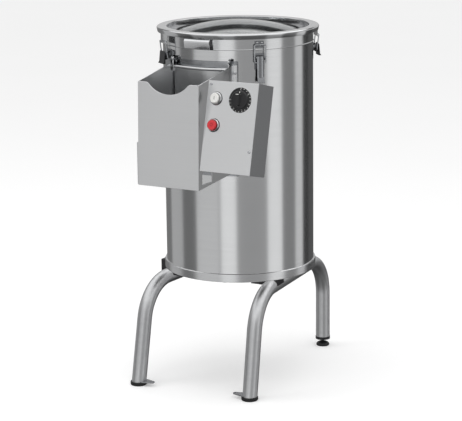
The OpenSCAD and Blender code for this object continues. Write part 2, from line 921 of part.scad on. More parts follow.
module hood_screws() {
    color("gainsboro")
        at_hood_screws() {
            cylinder(h = 2.2, r = hood_screw_r - 0.4, $fn = 32);
            translate([0, 0, -hood_t]) cylinder(h = hood_t + 1, r = 2, $fn = 32);
        }
}

// ---------- lid ----------

module lid_band() {
    bead_r = 1.4;
    color("silver") {
        ring(band_r, band_in_r, seam_z, rim_top - sheet_t);
        translate([0, 0, seam_z + bead_r])
            rotate_extrude($fn = 180)
                translate([band_r, 0])
                    intersection() {
                        circle(r = bead_r, $fn = 24);
                        translate([-0.5, -bead_r]) square([bead_r + 0.5, 2 * bead_r]);
                    }
    }
}

module lid_rim() {
    round_r = 3;
    color("gainsboro")
        rotate_extrude($fn = 180)
            difference() {
                union() {
                    translate([rim_in_r, rim_top - sheet_t])
                        square([rim_r - rim_in_r - round_r, sheet_t]);
                    translate([rim_r - sheet_t, rim_top - rim_skirt_h])
                        square([sheet_t, rim_skirt_h - round_r]);
                    translate([rim_r - round_r, rim_top - round_r])
                        intersection() {
                            difference() {
                                circle(r = round_r, $fn = 48);
                                circle(r = round_r - sheet_t, $fn = 48);
                            }
                            square([round_r, round_r]);
                        }
                    translate([rim_in_r - sheet_t, pan_z])
                        square([sheet_t, pan_depth - sheet_t]);
                    translate([rim_in_r, rim_top - sheet_t])
                        intersection() {
                            circle(r = sheet_t, $fn = 32);
                            translate([-sheet_t, 0]) square([sheet_t, sheet_t]);
                        }
                }
            }
}

module lid_pan() {
    color([0.35, 0.36, 0.38])
        ring(rim_in_r, pan_in_r, pan_z - sheet_t, pan_z);
}

module window_gasket() {
    color([0.07, 0.07, 0.07])
        rotate_extrude($fn = 180) {
            translate([pan_in_r + 2, pan_z]) square([gasket_lip_r + 4 - pan_in_r - 2, 1.2]);
            translate([gasket_lip_r, pan_z]) square([4, 1.2 + window_t]);
        }
}

module lid_window() {
    color([0.55, 0.6, 0.65, 0.45])
        rotate_extrude($fn = 180)
            intersection() {
                translate([0, window_base - dome_r + window_rise])
                    difference() {
                        circle(r = dome_r, $fn = 720);
                        circle(r = dome_r - window_t, $fn = 720);
                    }
                translate([0, window_base]) square([window_r, window_rise + 5]);
            }
}

module lid_gasket() {
    color([0.1, 0.1, 0.1])
        ring(drum_r, shell_in_r - 2, seam_z - seam_gasket_h - weld_gap, seam_z - weld_gap);
}

module lid_grip() {
    outer_y = -band_r - grip_depth;
    color("silver")
        difference() {
            union() {
                translate([-grip_w / 2, outer_y, grip_top - grip_h])
                    cube([grip_w, sheet_t, grip_h]);
                translate([-grip_w / 2, outer_y, grip_top - sheet_t])
                    cube([grip_w, grip_depth + 8, sheet_t]);
                for (x = [-grip_w / 2, grip_w / 2 - sheet_t])
                    translate([x, outer_y, grip_top - grip_h]) cube([sheet_t, grip_depth + 8, grip_h]);
            }
            cylinder(h = far * 2, r = band_r + weld_gap, $fn = 180);
            ring(band_r + 2, band_r - 2, seam_z - 5, seam_z + 4);
        }
}

// Strips that hang from the lid's rim over the side clamps
module lid_hooks() {
    color("silver")
        for (az = [left_clamp_az, right_clamp_az])
            at_azimuth(az)
                intersection() {
                    union() {
                        ring(rim_r - sheet_t - weld_gap, rim_r - sheet_t - weld_gap - hook_t, hook_low,
                            rim_top - sheet_t - weld_gap - 2);
                        ring(rim_r - sheet_t - weld_gap, band_r + weld_gap, rim_top - sheet_t - 4,
                            rim_top - sheet_t - weld_gap - 2);
                    }
                    translate([-hook_w / 2, -rim_r - 5, 0]) cube([hook_w, rim_r, far * 2]);
                }
}

// ---------- latches ----------

module latch_keepers() {
    lip = steel_bail_r - wire_r - 0.4;
    color("silver")
        for (az = [front_latch_az, rear_latch_az])
            at_azimuth(az)
                difference() {
                    union() {
                        translate([-keeper_w / 2, -band_r - 3, seam_z + 4])
                            cube([keeper_w, 10, keeper_top - seam_z - 4]);
                        translate([-keeper_w / 2 + 2, -lip, seam_z + 7])
                            cube([keeper_w - 4, 10, 2]);
                        translate([-keeper_w / 2 + 2, -lip, seam_z + 7]) cube([keeper_w - 4, 1.5, 7]);
                        for (x = [-6, 6])
                            translate([x, -band_r - 3, keeper_top - 4])
                                rotate([90, 0, 0]) cylinder(h = 1.2, r = 2.2, $fn = 32);
                    }
                    cylinder(h = far * 2, r = band_r + weld_gap, $fn = 180);
                }
}

// The base plate of one latch with its two ears and pivot pin
module latch_base(r_pivot, half_w, plate_up, plate_down) {
    eye = latch_pin_r + 3;
    difference() {
        union() {
            translate([-half_w, -drum_r - 2.2, latch_z - plate_down])
                cube([2 * half_w, 12, plate_up + plate_down]);
            for (x = [-ear_gap / 2 - 2, ear_gap / 2])
                translate([x, 0, latch_z]) {
                    translate([0, -r_pivot, 0])
                        rotate([0, 90, 0]) cylinder(h = 2, r = eye, $fn = 48);
                    translate([0, -r_pivot, -eye])
                        cube([2, r_pivot - drum_r + 6, eye + strut_up]);
                }
            translate([-ear_gap / 2 - 1, -r_pivot, latch_z])
                rotate([0, 90, 0]) cylinder(h = ear_gap + 2, r = latch_pin_r, $fn = 32);
        }
        cylinder(h = far * 2, r = drum_r + weld_gap, $fn = 180);
    }
}

module latch_bases() {
    color("silver") {
        for (az = [front_latch_az, rear_latch_az])
            at_azimuth(az) latch_base(steel_r, steel_base_half, base_up, steel_base_down);
        for (az = [left_clamp_az, right_clamp_az])
            at_azimuth(az) latch_base(clamp_r, clamp_base_half, base_up, clamp_base_down);
    }
}

// Bores for the pivot pin and for the bail's two ends, as [height, pin radius], cut from a lever
module lever_bores(r_pivot) {
    for (bore = [[latch_z, latch_pin_r], [latch_z - bail_arm, wire_r]])
        translate([-40, -r_pivot, bore[0]])
            rotate([0, 90, 0]) cylinder(h = 80, r = bore[1] + run_gap, $fn = 32);
}

// Steel toggle lever: a channel that closes over its base
module steel_lever() {
    inner = lever_half - 1.5;
    tip = 14;
    difference() {
        union() {
            translate([-lever_half, -steel_r - 5, latch_z - lever_len])
                cube([2 * lever_half, 1.5, lever_len + 5]);
            for (x = [-lever_half, inner])
                translate([x, -steel_r - 5, latch_z - lever_len + tip])
                    cube([1.5, 8, lever_len + 5 - tip]);
            translate([-lever_half, -steel_r - 5, latch_z - lever_len])
                rotate([-20, 0, 0]) translate([0, 0, -tip]) cube([2 * lever_half, 1.5, tip + 1]);
        }
        lever_bores(steel_r);
    }
}

// Black clamp lever: a wedge with a pull lip at its lower end
module grip_lever() {
    half = lever_half - 0.2;
    difference() {
        union() {
            translate([-grip_lever_w / 2, 0, 0])
                rotate([90, 0, 90])
                    linear_extrude(grip_lever_w)
                        polygon([[-clamp_r - wedge_back, latch_z + 7],
                            [-clamp_r - wedge_back - 2, latch_z + 5],
                            [-clamp_r - wedge_back - 4.5, latch_z - grip_lever_len + 5],
                            [-clamp_r - wedge_back - 8, latch_z - grip_lever_len],
                            [-clamp_r - wedge_back, latch_z - grip_lever_len]]);
            for (x = [-half, half - 4])
                translate([x, -clamp_r - wedge_back - 1, latch_z - bail_arm - 4])
                    cube([4, wedge_back + 4, bail_arm + 8]);
        }
        lever_bores(clamp_r);
    }
}

module front_latch_lever() { color("silver") at_azimuth(front_latch_az) steel_lever(); }
module rear_latch_lever() { color("silver") at_azimuth(rear_latch_az) steel_lever(); }
module left_clamp_lever() { color([0.08, 0.08, 0.08]) at_azimuth(left_clamp_az) grip_lever(); }
module right_clamp_lever() { color([0.08, 0.08, 0.08]) at_azimuth(right_clamp_az) grip_lever(); }

// Wire bail from the lever's pins up to a cross bar at the lid
module bail(r_pivot, r_top, z_top, bail_x, pin_in) {
    z_pin = latch_z - bail_arm;
    for (s = [-1, 1]) {
        bar([s * bail_x, -r_pivot, z_pin], [s * bail_x, -r_top, z_top], wire_r, $fn = 24);
        bar([s * (bail_x + wire_r * 0.5), -r_pivot, z_pin], [s * pin_in, -r_pivot, z_pin],
            wire_r, $fn = 24);
        translate([s * bail_x, -r_pivot, z_pin]) sphere(r = wire_r * 1.02, $fn = 24);
        translate([s * bail_x, -r_top, z_top]) sphere(r = wire_r * 1.02, $fn = 24);
    }
    bar([-bail_x, -r_top, z_top], [bail_x, -r_top, z_top], wire_r, $fn = 24);
}

module steel_bail(az) {
    color("gainsboro") at_azimuth(az)
            bail(steel_r, steel_bail_r, seam_z + 12, steel_bail_x, lever_half - 1.5);
}

module clamp_bail(az) {
    color("gainsboro")
        at_azimuth(az)
            bail(clamp_r, clamp_bail_r, hook_low + 6, clamp_bail_x, lever_half - 4);
}

module front_latch_bail() { steel_bail(front_latch_az); }
module rear_latch_bail() { steel_bail(rear_latch_az); }
module left_clamp_bail() { clamp_bail(left_clamp_az); }
module right_clamp_bail() { clamp_bail(right_clamp_az); }

// ---------- drive ----------

module abrasive_disc() {
    color([0.22, 0.22, 0.24])
        difference() {
            union() {
                translate([0, 0, disc_z]) cylinder(h = disc_t, r = disc_r, $fn = 180);
                translate([0, 0, disc_z - 14]) cylinder(h = 15, r = shaft_r + 14);
                for (a = [0, 120, 240])
                    rotate([0, 0, a])
                        translate([shaft_r + 20, 0, disc_z + disc_t])
                            intersection() {
                                translate([0, 0, ridge_h - 60])
                                    rotate([0, 90, 0])
                                        cylinder(h = disc_r - shaft_r - 30, r = 60, $fn = 120);
                                translate([0, -60, -0.5]) cube([disc_r, 120, ridge_h + 1]);
                            }
            }
            translate([0, 0, disc_z - 20]) cylinder(h = 60, r = shaft_r);
        }
}

module disc_cap() {
    cap_r = 22;
    color("silver")
        translate([0, 0, disc_z + disc_t])
            difference() {
                intersection() {
                    translate([0, 0, -8]) sphere(r = 30);
                    cylinder(h = 30, r = cap_r);
                }
                translate([0, 0, -1]) cylinder(h = 11, r = shaft_r);
            }
}

module drive_shaft() {
    color("gainsboro")
        translate([0, 0, pulley_z - 4])
            cylinder(h = disc_z + disc_t + 10 - pulley_z + 4, r = shaft_r);
}

module bearing_housing() {
    color([0.4, 0.42, 0.45])
        difference() {
            union() {
                translate([0, 0, housing_low]) cylinder(h = housing_len, r = housing_r);
                translate([0, 0, housing_top - housing_flange_t])
                    cylinder(h = housing_flange_t, r = housing_r + housing_flange_w);
            }
            translate([0, 0, housing_low - 1]) cylinder(h = bearing_w + 1, r = bearing_r);
            translate([0, 0, housing_top - bearing_w]) cylinder(h = bearing_w + 1, r = bearing_r);
            translate([0, 0, housing_low]) cylinder(h = housing_len + 1, r = bearing_r - 4);
        }
}

module shaft_bearings() {
    color("gainsboro") {
        ring(bearing_r, shaft_r + run_gap, housing_low, housing_low + bearing_w);
        ring(bearing_r, shaft_r + run_gap, housing_top - bearing_w, housing_top);
    }
}

// A grooved pulley with its bore, its underside at pulley_z
module pulley(r, bore) {
    translate([0, 0, pulley_z])
        rotate_extrude($fn = 120)
            polygon([[bore, 0], [r, 0], [r, belt_side_gap - 1], [r - belt_groove, belt_side_gap],
                [r - belt_groove, pulley_w - belt_side_gap], [r, pulley_w - belt_side_gap + 1],
                [r, pulley_w], [bore, pulley_w]]);
}

module large_pulley() {
    color([0.45, 0.46, 0.48])
        difference() {
            pulley(large_pulley_r, shaft_r);
            for (a = [0:60:300])
                rotate([0, 0, a])
                    translate([(large_pulley_r + shaft_r) / 2 - 2, 0, pulley_z - 1])
                        cylinder(h = pulley_w + 2, r = 13, $fn = 48);
        }
}

module motor_pulley() {
    color([0.45, 0.46, 0.48]) translate([0, motor_y, 0]) pulley(motor_pulley_r, motor_shaft_r);
}

// Outline round both pulleys at given radii
module belt_outline(r_large, r_small) {
    tilt = asin((r_large - r_small) / belt_centres);
    circle(r = r_large, $fn = 120);
    translate([0, belt_centres]) circle(r = r_small, $fn = 96);
    polygon([[r_large * cos(tilt), r_large * sin(tilt)],
        [r_small * cos(tilt), belt_centres + r_small * sin(tilt)],
        [-r_small * cos(tilt), belt_centres + r_small * sin(tilt)],
        [-r_large * cos(tilt), r_large * sin(tilt)]]);
}

module drive_belt() {
    in_l = large_pulley_r - belt_groove + fit_gap;
    in_s = motor_pulley_r - belt_groove + fit_gap;
    color([0.1, 0.1, 0.1])
        translate([0, 0, pulley_z + belt_side_gap + fit_gap])
            rotate([0, 0, 180])
                linear_extrude(pulley_w - 2 * belt_side_gap - 2 * fit_gap)
                difference() {
                    belt_outline(in_l + belt_t, in_s + belt_t);
                    belt_outline(in_l, in_s);
                }
}

module motor_body() {
    fins = 7;
    fin_pitch = (motor_h - 30) / fins;
    color([0.3, 0.33, 0.36])
        translate([0, motor_y, 0])
            difference() {
                union() {
                    translate([-motor_r, -motor_r, plate_top])
                        cube([2 * motor_r, 2 * motor_r, motor_flange_t]);
                    translate([0, 0, motor_low]) cylinder(h = motor_h, r = motor_r - 6);
                    for (i = [0:fins - 1])
                        translate([0, 0, motor_low + 12 + i * fin_pitch])
                            cylinder(h = fin_pitch * 0.5, r = motor_r - 1);
                }
                translate([0, 0, motor_low + 20]) cylinder(h = motor_h, r = motor_shaft_r + run_gap);
                translate([0, -motor_y, 0]) {
                    bolt_holes();
                    at_motor_bolts() translate([0, 0, motor_low])
                        cylinder(h = nut_h + 6, r = bolt_head_r + 3, $fn = 48);
                    ring(drum_r + 60, shell_in_r - fit_gap, 0, far * 2);
                }
            }
}

module motor_shaft() {
    color("gainsboro")
        translate([0, motor_y, motor_low + 22])
            cylinder(h = pulley_z + pulley_w + 4 - motor_low - 22, r = motor_shaft_r);
}

// ---------- connections ----------

module water_inlet() {
    color([0.8, 0.68, 0.35])
        translate([0, 0, inlet_z()])
            rotate([-90, 0, 0])
                difference() {
                    union() {
                        translate([0, 0, lining_in_r - 10])
                            cylinder(h = drum_r + 8 + inlet_len - lining_in_r + 10,
                                r = inlet_d / 2);
                        translate([0, 0, drum_r + 0.5]) cylinder(h = 7.5, r = inlet_d / 2 + 6, $fn = 6);
                    }
                    translate([0, 0, lining_in_r - 8])
                        cylinder(h = 100, r = inlet_d / 2 - 3);
                }
}

module drain_outlet() {
    color("silver")
        translate([0, 0, drain_z()])
            rotate([-90, 0, 0])
                difference() {
                    union() {
                        translate([0, 0, shell_in_r - 8])
                            cylinder(h = drain_len + shell_t + 8, r = drain_d / 2);
                        translate([0, 0, drum_r + 0.5]) cylinder(h = 3, r = drain_d / 2 + 8);
                    }
                    translate([0, 0, shell_in_r - 10]) cylinder(h = 100, r = drain_d / 2 - 2);
                }
}

module cable_gland() {
    wall_y = sqrt(pow(drum_r, 2) - pow(gland_x(), 2));
    seat_y = sqrt(pow(drum_r, 2) - pow(gland_x() + gland_hex_r, 2)) + fit_gap;
    color([0.12, 0.12, 0.12])
        translate([gland_x(), 0, gland_z()])
            rotate([-90, 0, 0])
                difference() {
                    union() {
                        translate([0, 0, wall_y - 20]) cylinder(h = 26, r = 10);
                        translate([0, 0, seat_y]) cylinder(h = 9, r = gland_hex_r, $fn = 6);
                        translate([0, 0, seat_y + 9]) cylinder(h = 10, r = 12);
                    }
                    translate([0, 0, wall_y - 25]) cylinder(h = 60, r = gland_bore_d / 2, $fn = 48);
                }
}

// ---------- control box ----------

// A block with two rounded rear edges, drawn flat as x and y
module box_outline(inset) {
    w = panel_w - 2 * inset;
    d = box_depth - inset;
    r = max(box_corner_r - inset, 1);
    translate([inset, 0]) {
        square([w, d - r]);
        translate([r, 0]) square([w - 2 * r, d]);
        for (x = [r, w - r])
            translate([x, d - r]) circle(r = r, $fn = 48);
    }
}

module control_box() {
    color([0.5, 0.5, 0.51])
        on_panel()
            translate([0, panel_t, 0])
                difference() {
                    linear_extrude(panel_h) box_outline(0);
                    translate([0, -1, box_t])
                        linear_extrude(panel_h - 2 * box_t) box_outline(box_t);
                    translate([panel_w * 0.42, box_depth - 10, panel_h * 0.4])
                        rotate([-90, 0, 0]) cylinder(h = 20, r = 12);
                }
}

module control_panel() {
    color([0.78, 0.79, 0.8])
        on_panel()
            difference() {
                cube([panel_w, panel_t, panel_h]);
                for (up = [start_up, stop_up])
                    translate([button_x, -1, up])
                        rotate([-90, 0, 0]) cylinder(h = panel_t + 2, r = box_half_bore + 1.4);
                translate([timer_x, -1, timer_up])
                    rotate([-90, 0, 0]) cylinder(h = panel_t + 2, r = 6);
                at_panel_screws() translate([0, 0, -10]) cylinder(h = 20, r = 2.2, $fn = 32);
            }
}

// Runs its child at each panel screw, its axis pointing out of the panel
module at_panel_screws() {
    for (p = [[8, panel_h - 9], [panel_w - 8, 58]])
        translate([p[0], 0, p[1]]) rotate([90, 0, 0]) children();
}

module panel_screws() {
    color("gainsboro")
        on_panel()
            at_panel_screws() {
                cylinder(h = 2, r = 3.6, $fn = 32);
                translate([0, 0, -panel_t - 4]) cylinder(h = panel_t + 5, r = 2, $fn = 32);
            }
}

module control_bracket() {
    plate_d = 2.5;
    color("gray")
        difference() {
            translate([bracket_x, -panel_reach, bracket_low])
                cube([bracket_w, panel_reach - 20, bracket_h]);
            translate([bracket_x + plate_d, -panel_reach - 1, bracket_low + plate_d])
                cube([bracket_w - 2 * plate_d, panel_reach, bracket_h - 2 * plate_d]);
            cylinder(h = far * 3, r = drum_r + weld_gap, $fn = 180);
            on_panel()
                translate([-100, -300, -200])
                    cube([panel_w + 200, 300 + panel_t + box_depth + weld_gap, panel_h + 400]);
        }
}

module timer_body() {
    side = 48;
    color([0.15, 0.15, 0.16])
        on_panel()
            translate([timer_x, panel_t, timer_up]) {
                translate([-side / 2, weld_gap, -side / 2 - 4]) cube([side, 40, side]);
                translate([0, 5, 0]) rotate([90, 0, 0]) cylinder(h = panel_t + 8, r = 5);
            }
}

module timer_plate() {
    color([0.06, 0.06, 0.06])
        on_panel()
            translate([timer_x, 0, timer_up])
                rotate([90, 0, 0])
                    difference() {
                        cylinder(h = 1.5, r = dial_d / 2);
                        translate([0, 0, -1]) cylinder(h = 4, r = 6);
                    }
}

module timer_knob() {
    knob_r = dial_d / 2 - 8;
    bar_w = 11;
    color([0.08, 0.08, 0.08])
        on_panel()
            translate([timer_x, -1.5 - fit_gap, timer_up])
                rotate([90, 0, 0])
                    difference() {
                        union() {
                            cylinder(h = 5, r = knob_r);
                            intersection() {
                                translate([-bar_w / 2, -knob_r, 4]) cube([bar_w, 2 * knob_r, 13]);
                                cylinder(h = 20, r = knob_r - 1);
                            }
                        }
                        translate([0, 0, -0.5]) cylinder(h = 4, r = 5 + run_gap);
                    }
}

// One push button: a cap outside the panel on a plunger that runs through it
module push_button(up) {
    on_panel()
        translate([button_x, 0, up])
            rotate([90, 0, 0]) {
                translate([0, 0, bezel_proud - 1 - button_travel])
                    cylinder(h = button_proud - bezel_proud + 1 + button_travel, r = button_d / 2);
                translate([0, 0, -panel_t - 8]) cylinder(h = panel_t + 8 + 3, r = button_d / 2 - 4);
            }
}

module start_button() { color("white") push_button(start_up); }
module stop_button() { color([0.85, 0.12, 0.1]) push_button(stop_up); }

module button_bezels() {
    color("gainsboro")
        on_panel()
            for (up = [start_up, stop_up])
                translate([button_x, 0, up])
                    rotate([90, 0, 0])
                        difference() {
                            union() {
                                cylinder(h = bezel_proud, r = bezel_d / 2);
                                translate([0, 0, -panel_t - 3])
                                    cylinder(h = panel_t + 4, r = box_half_bore + 1.3);
                            }
                            translate([0, 0, -panel_t - 4])
                                cylinder(h = panel_t + bezel_proud + 5, r = button_d / 2 + fit_gap);
                        }
}

module contact_blocks() {
    bore_depth = button_travel + 9;
    color([0.2, 0.25, 0.22])
        on_panel()
            for (up = [start_up, stop_up])
                translate([button_x, panel_t + 3 + weld_gap, up])
                    difference() {
                        translate([-block_w / 2, 0, -block_w / 2])
                            cube([block_w, block_depth, block_w]);
                        translate([0, -1, 0])
                            rotate([-90, 0, 0]) cylinder(h = bore_depth + 1, r = button_d / 2 - 3.5);
                    }
}

// ---------- assembly ----------

module at_origin() {
    translate(origin_shift) children();
}

at_origin() side_tube();
at_origin() front_left_tube();
at_origin() saddle_blocks();
at_origin() frame_bolts();
at_origin() front_foot_caps();
at_origin() anchor_tabs();
at_origin() rear_tube_insert();
at_origin() levelling_foot();
at_origin() outer_shell();
at_origin() base_ring();
at_origin() base_plate();
at_origin() chamber_floor();
at_origin() abrasive_lining();
at_origin() discharge_frame();
at_origin() discharge_seal();
at_origin() discharge_door();
at_origin() discharge_hood();
at_origin() hood_screws();
at_origin() lid_band();
at_origin() lid_rim();
at_origin() lid_pan();
at_origin() lid_window();
at_origin() window_gasket();
at_origin() lid_gasket();
at_origin() lid_grip();
at_origin() lid_hooks();
at_origin() latch_keepers();
at_origin() latch_bases();
at_origin() front_latch_lever();
at_origin() front_latch_bail();
at_origin() rear_latch_lever();
at_origin() rear_latch_bail();
at_origin() left_clamp_lever();
at_origin() left_clamp_bail();
at_origin() right_clamp_lever();
at_origin() right_clamp_bail();
at_origin() abrasive_disc();
at_origin() disc_cap();
at_origin() drive_shaft();
at_origin() bearing_housing();
at_origin() shaft_bearings();
at_origin() large_pulley();
at_origin() drive_belt();
at_origin() motor_pulley();
at_origin() motor_body();
at_origin() motor_shaft();
at_origin() water_inlet();
at_origin() drain_outlet();
at_origin() control_box();
at_origin() control_panel();
at_origin() control_bracket();
at_origin() timer_body();
at_origin() timer_plate();
at_origin() timer_knob();
at_origin() start_button();
at_origin() stop_button();
at_origin() button_bezels();
at_origin() contact_blocks();
at_origin() panel_screws();
at_origin() cable_gland();
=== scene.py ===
"""The look of a commercial drum potato peeler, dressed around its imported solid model.

Lengths here are millimetres from the drum's axis at floor level, with the discharge hood towards -Y. They become the
model's metres in `at`, `metres` and `Blank.piece`.
"""

import json
import logging
import math
from dataclasses import dataclass
from enum import Enum
from typing import Any, Iterable, Sequence

import bmesh
import bpy
from mathutils import Matrix, Vector

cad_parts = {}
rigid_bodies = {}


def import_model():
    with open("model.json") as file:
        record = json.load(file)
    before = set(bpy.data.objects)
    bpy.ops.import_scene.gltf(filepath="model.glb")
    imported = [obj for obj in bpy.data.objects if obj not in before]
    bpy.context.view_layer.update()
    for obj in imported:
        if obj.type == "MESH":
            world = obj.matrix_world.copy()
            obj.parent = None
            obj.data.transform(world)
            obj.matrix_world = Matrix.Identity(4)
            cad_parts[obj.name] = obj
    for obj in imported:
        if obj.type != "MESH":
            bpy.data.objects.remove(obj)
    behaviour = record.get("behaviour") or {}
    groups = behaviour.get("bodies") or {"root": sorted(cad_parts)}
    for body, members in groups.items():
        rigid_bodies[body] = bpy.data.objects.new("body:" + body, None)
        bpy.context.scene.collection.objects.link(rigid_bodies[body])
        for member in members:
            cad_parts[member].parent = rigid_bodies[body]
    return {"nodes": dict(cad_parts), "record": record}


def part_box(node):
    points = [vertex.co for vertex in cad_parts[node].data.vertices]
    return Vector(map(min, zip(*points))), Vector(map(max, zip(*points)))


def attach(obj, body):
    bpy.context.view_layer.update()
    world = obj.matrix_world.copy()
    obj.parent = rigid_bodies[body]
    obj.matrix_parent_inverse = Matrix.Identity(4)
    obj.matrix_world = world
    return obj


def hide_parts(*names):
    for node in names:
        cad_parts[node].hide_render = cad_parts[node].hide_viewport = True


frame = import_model()

LOG = logging.getLogger("peeler")
MM = 0.001
CREASE = math.radians(38.0)  # an edge that turns further than this is sharp
Outline = Sequence[tuple[float, float]]
Place = tuple[float, float, float]
BODY_OF = {node: body for body, nodes in frame["record"]["behaviour"]["bodies"].items() for node in nodes}
SHELL_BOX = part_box("outer_shell")
AXIS = Vector(((SHELL_BOX[0].x + SHELL_BOX[1].x) / 2, (SHELL_BOX[0].y + SHELL_BOX[1].y) / 2, 0.0))
UNTURNED = Matrix.Identity(4)
# takes an outline drawn in (outwards from the drum, up) and its thickness to the machine's -Y, Z and X
SIDEWAYS = Matrix(((0, 0, 1, 0), (-1, 0, 0, 0), (0, 1, 0, 0), (0, 0, 0, 1)))


def at(x: float, y: float, z: float) -> Vector:
    """Takes a place in millimetres from the drum's axis to the model's metres."""
    return AXIS + Vector((x, y, z)) * MM


def metres(place: Matrix) -> Matrix:
    """Takes a placement in millimetres from the drum's axis to the model's metres."""
    return Matrix.Translation(AXIS) @ Matrix.Scale(MM, 4) @ place


def grey(tone: float) -> float:
    """Linear value of a displayed sRGB tone between 0 and 1."""
    return tone / 12.92 if tone <= 0.04045 else ((tone + 0.055) / 1.055) ** 2.4


def linear(colour: str) -> tuple[float, float, float, float]:
    """Turns an sRGB hex colour into the linear values a shader takes.

    Args:
        colour: six hex digits after a hash.

    Returns:
        Linear red, green, blue and an alpha of one.
    """
    red, green, blue = (grey(int(colour[i:i + 2], 16) / 255) for i in (1, 3, 5))
    return red, green, blue, 1.0


def add(tree: bpy.types.NodeTree, kind: str, inputs: dict[Any, Any] | None = None, **settings: Any) -> bpy.types.Node:
    """Adds a node to a tree, with its settings, values and links.

    Args:
        tree: the tree that gets the node.
        kind: the node's type name.
        inputs: a value, or another node's output socket, for each input by name or number.
        settings: the node's own properties.

    Returns:
        The new node.
    """
    node = tree.nodes.new(kind)
    for key, value in settings.items():
        setattr(node, key, value)
    for key, value in (inputs or {}).items():
        if isinstance(value, bpy.types.NodeSocket):
            tree.links.new(value, node.inputs[key])
        else:
            node.inputs[key].default_value = value
    return node


# ---------- finishes ----------


class Grain(Enum):
    """How the marks of a finish lie, as shares of its pitch along X, Y and Z."""

    ROUND = (60.0, 60.0, 1.0)
    UPRIGHT = (1.0, 1.0, 60.0)
    CLOUDY = (1.0, 1.0, 1.0)
    GRIT = (1.0, 1.0, 1.001)


@dataclass(frozen=True)
class Finish:
    """One real material and the way its surface was made."""

    title: str
    slot: str
    colour: str
    second: str
    roughness: float
    swing: float = 0.05
    metallic: float = 0.0
    grain: Grain = Grain.CLOUDY
    pitch: float = 4.0
    depth: float = 0.02
    anisotropic: float = 0.0
    coat: float = 0.0
    transmission: float = 0.0
    ior: float = 1.5

    def material(self) -> bpy.types.Material:
        """Builds the material once and returns it."""
        known = bpy.data.materials.get(self.title)
        if known:
            return known
        material = bpy.data.materials.new(self.title)
        material.use_nodes = True
        tree = material.node_tree
        tree.nodes.clear()
        spot = add(tree, "ShaderNodeTexCoord").outputs["Object"]
        spread = [1 / (self.pitch * MM * share) for share in self.grain.value]
        place = add(tree, "ShaderNodeMapping", {"Vector": spot, "Scale": spread}).outputs["Vector"]
        if self.grain is Grain.GRIT:
            marks = add(tree, "ShaderNodeTexVoronoi", {"Vector": place, "Scale": 1.0}).outputs["Distance"]
        else:
            marks = add(tree, "ShaderNodeTexNoise", {"Vector": place, "Scale": 1.0, "Detail": 3.0}).outputs["Fac"]
        # broad, faint clouds left by handling and wiping, about 120 mm across
        cloud = add(tree, "ShaderNodeTexNoise", {"Vector": spot, "Scale": 8.0, "Detail": 3.0}).outputs["Fac"]
        mixed = add(tree, "ShaderNodeMath", {0: marks, 1: cloud}, operation="MULTIPLY").outputs[0]
        amount = add(tree, "ShaderNodeMapRange", {"Value": mixed, "From Min": 0.12, "From Max": 0.42}).outputs[0]
        tint = add(tree, "ShaderNodeMix", {0: amount, 6: linear(self.colour), 7: linear(self.second)},
                   data_type="RGBA").outputs[2]
        gloss = add(tree, "ShaderNodeMapRange", {
            "Value": mixed, "From Min": 0.12, "From Max": 0.42,
            "To Min": max(0.01, self.roughness - self.swing), "To Max": self.roughness + self.swing}).outputs[0]
        bump = add(tree, "ShaderNodeBump", {"Height": marks, "Distance": self.depth * MM, "Strength": 1.0})
        values: dict[Any, Any] = {
            "Base Color": tint, "Roughness": gloss, "Normal": bump.outputs["Normal"], "Metallic": self.metallic,
            "Anisotropic": self.anisotropic, "Coat Weight": self.coat, "Transmission Weight": self.transmission}
        if not self.metallic:
            values["IOR"] = self.ior
        if self.anisotropic:
            values["Tangent"] = add(tree, "ShaderNodeTangent", direction_type="RADIAL", axis="Z").outputs[0]
        shader = add(tree, "ShaderNodeBsdfPrincipled", values)
        add(tree, "ShaderNodeOutputMaterial", {"Surface": shader.outputs[0]})
        return material


# AISI 304 sheet, belt-ground round the drum: long level lines, drawn 2.5 mm wide so that they show
SHELL_STEEL = Finish("ground stainless sheet", "brushed_stainless", "#DADBDC", "#D5D6D7", 0.15, 0.012, 1.0,
                     Grain.ROUND, 2.5, 0.001, 0.5)
# AISI 304, buffed: mirror-like with faint clouds
BRIGHT_STEEL = Finish("buffed stainless", "bright_stainless", "#DEDFE0", "#D6D7D9", 0.14, 0.03, 1.0,
                      Grain.ROUND, 3.0, 0.002)
# rolled and spun sheet scrubbed after welding: the same steel, duller
RING_STEEL = Finish("scrubbed stainless ring", "brushed_stainless", "#DCDDDE", "#D6D7D9", 0.24, 0.02, 1.0,
                    Grain.ROUND, 3.0, 0.002)
# stamped and tumbled stainless hardware: greyer, with soft highlights
LATCH_STEEL = Finish("tumbled stainless hardware", "bright_stainless", "#A9ABAE", "#9C9EA1", 0.22, 0.04, 1.0,
                     Grain.CLOUDY, 4.0, 0.01)
# drawn tube, scrubbed with a pad: soft grey sheen
TUBE_STEEL = Finish("scrubbed stainless tube", "satin_tube", "#D4D5D6", "#CBCCCE", 0.4, 0.03, 1.0,
                    Grain.CLOUDY, 9.0, 0.004)
# folded sheet with a mill finish: softer reflections than the drum
SHEET_STEEL = Finish("mill-finish stainless sheet", "satin_sheet", "#E8E9EA", "#E6E7E8", 0.3, 0.01, 1.0,
                     Grain.ROUND, 6.0, 0.0005)
# flat panel blank, ground with a fine belt: the palest of the steels
PANEL_STEEL = Finish("fine-ground stainless panel", "panel_sheet", "#F1F2F3", "#EFF0F1", 0.32, 0.01, 1.0,
                     Grain.ROUND, 3.0, 0.0005)
# sheet with a thin grey lacquer: darker and flatter than bare steel
BOX_STEEL = Finish("grey lacquered sheet", "box_sheet", "#9A9B9D", "#929395", 0.36, 0.04, 0.7,
                   Grain.CLOUDY, 3.0, 0.006)
# ABS from a sparked mould: black with a soft even sheen
BLACK_ABS = Finish("moulded black ABS", "black_plastic", "#19191B", "#232326", 0.38, 0.06, 0.0,
                   Grain.CLOUDY, 1.2, 0.02)
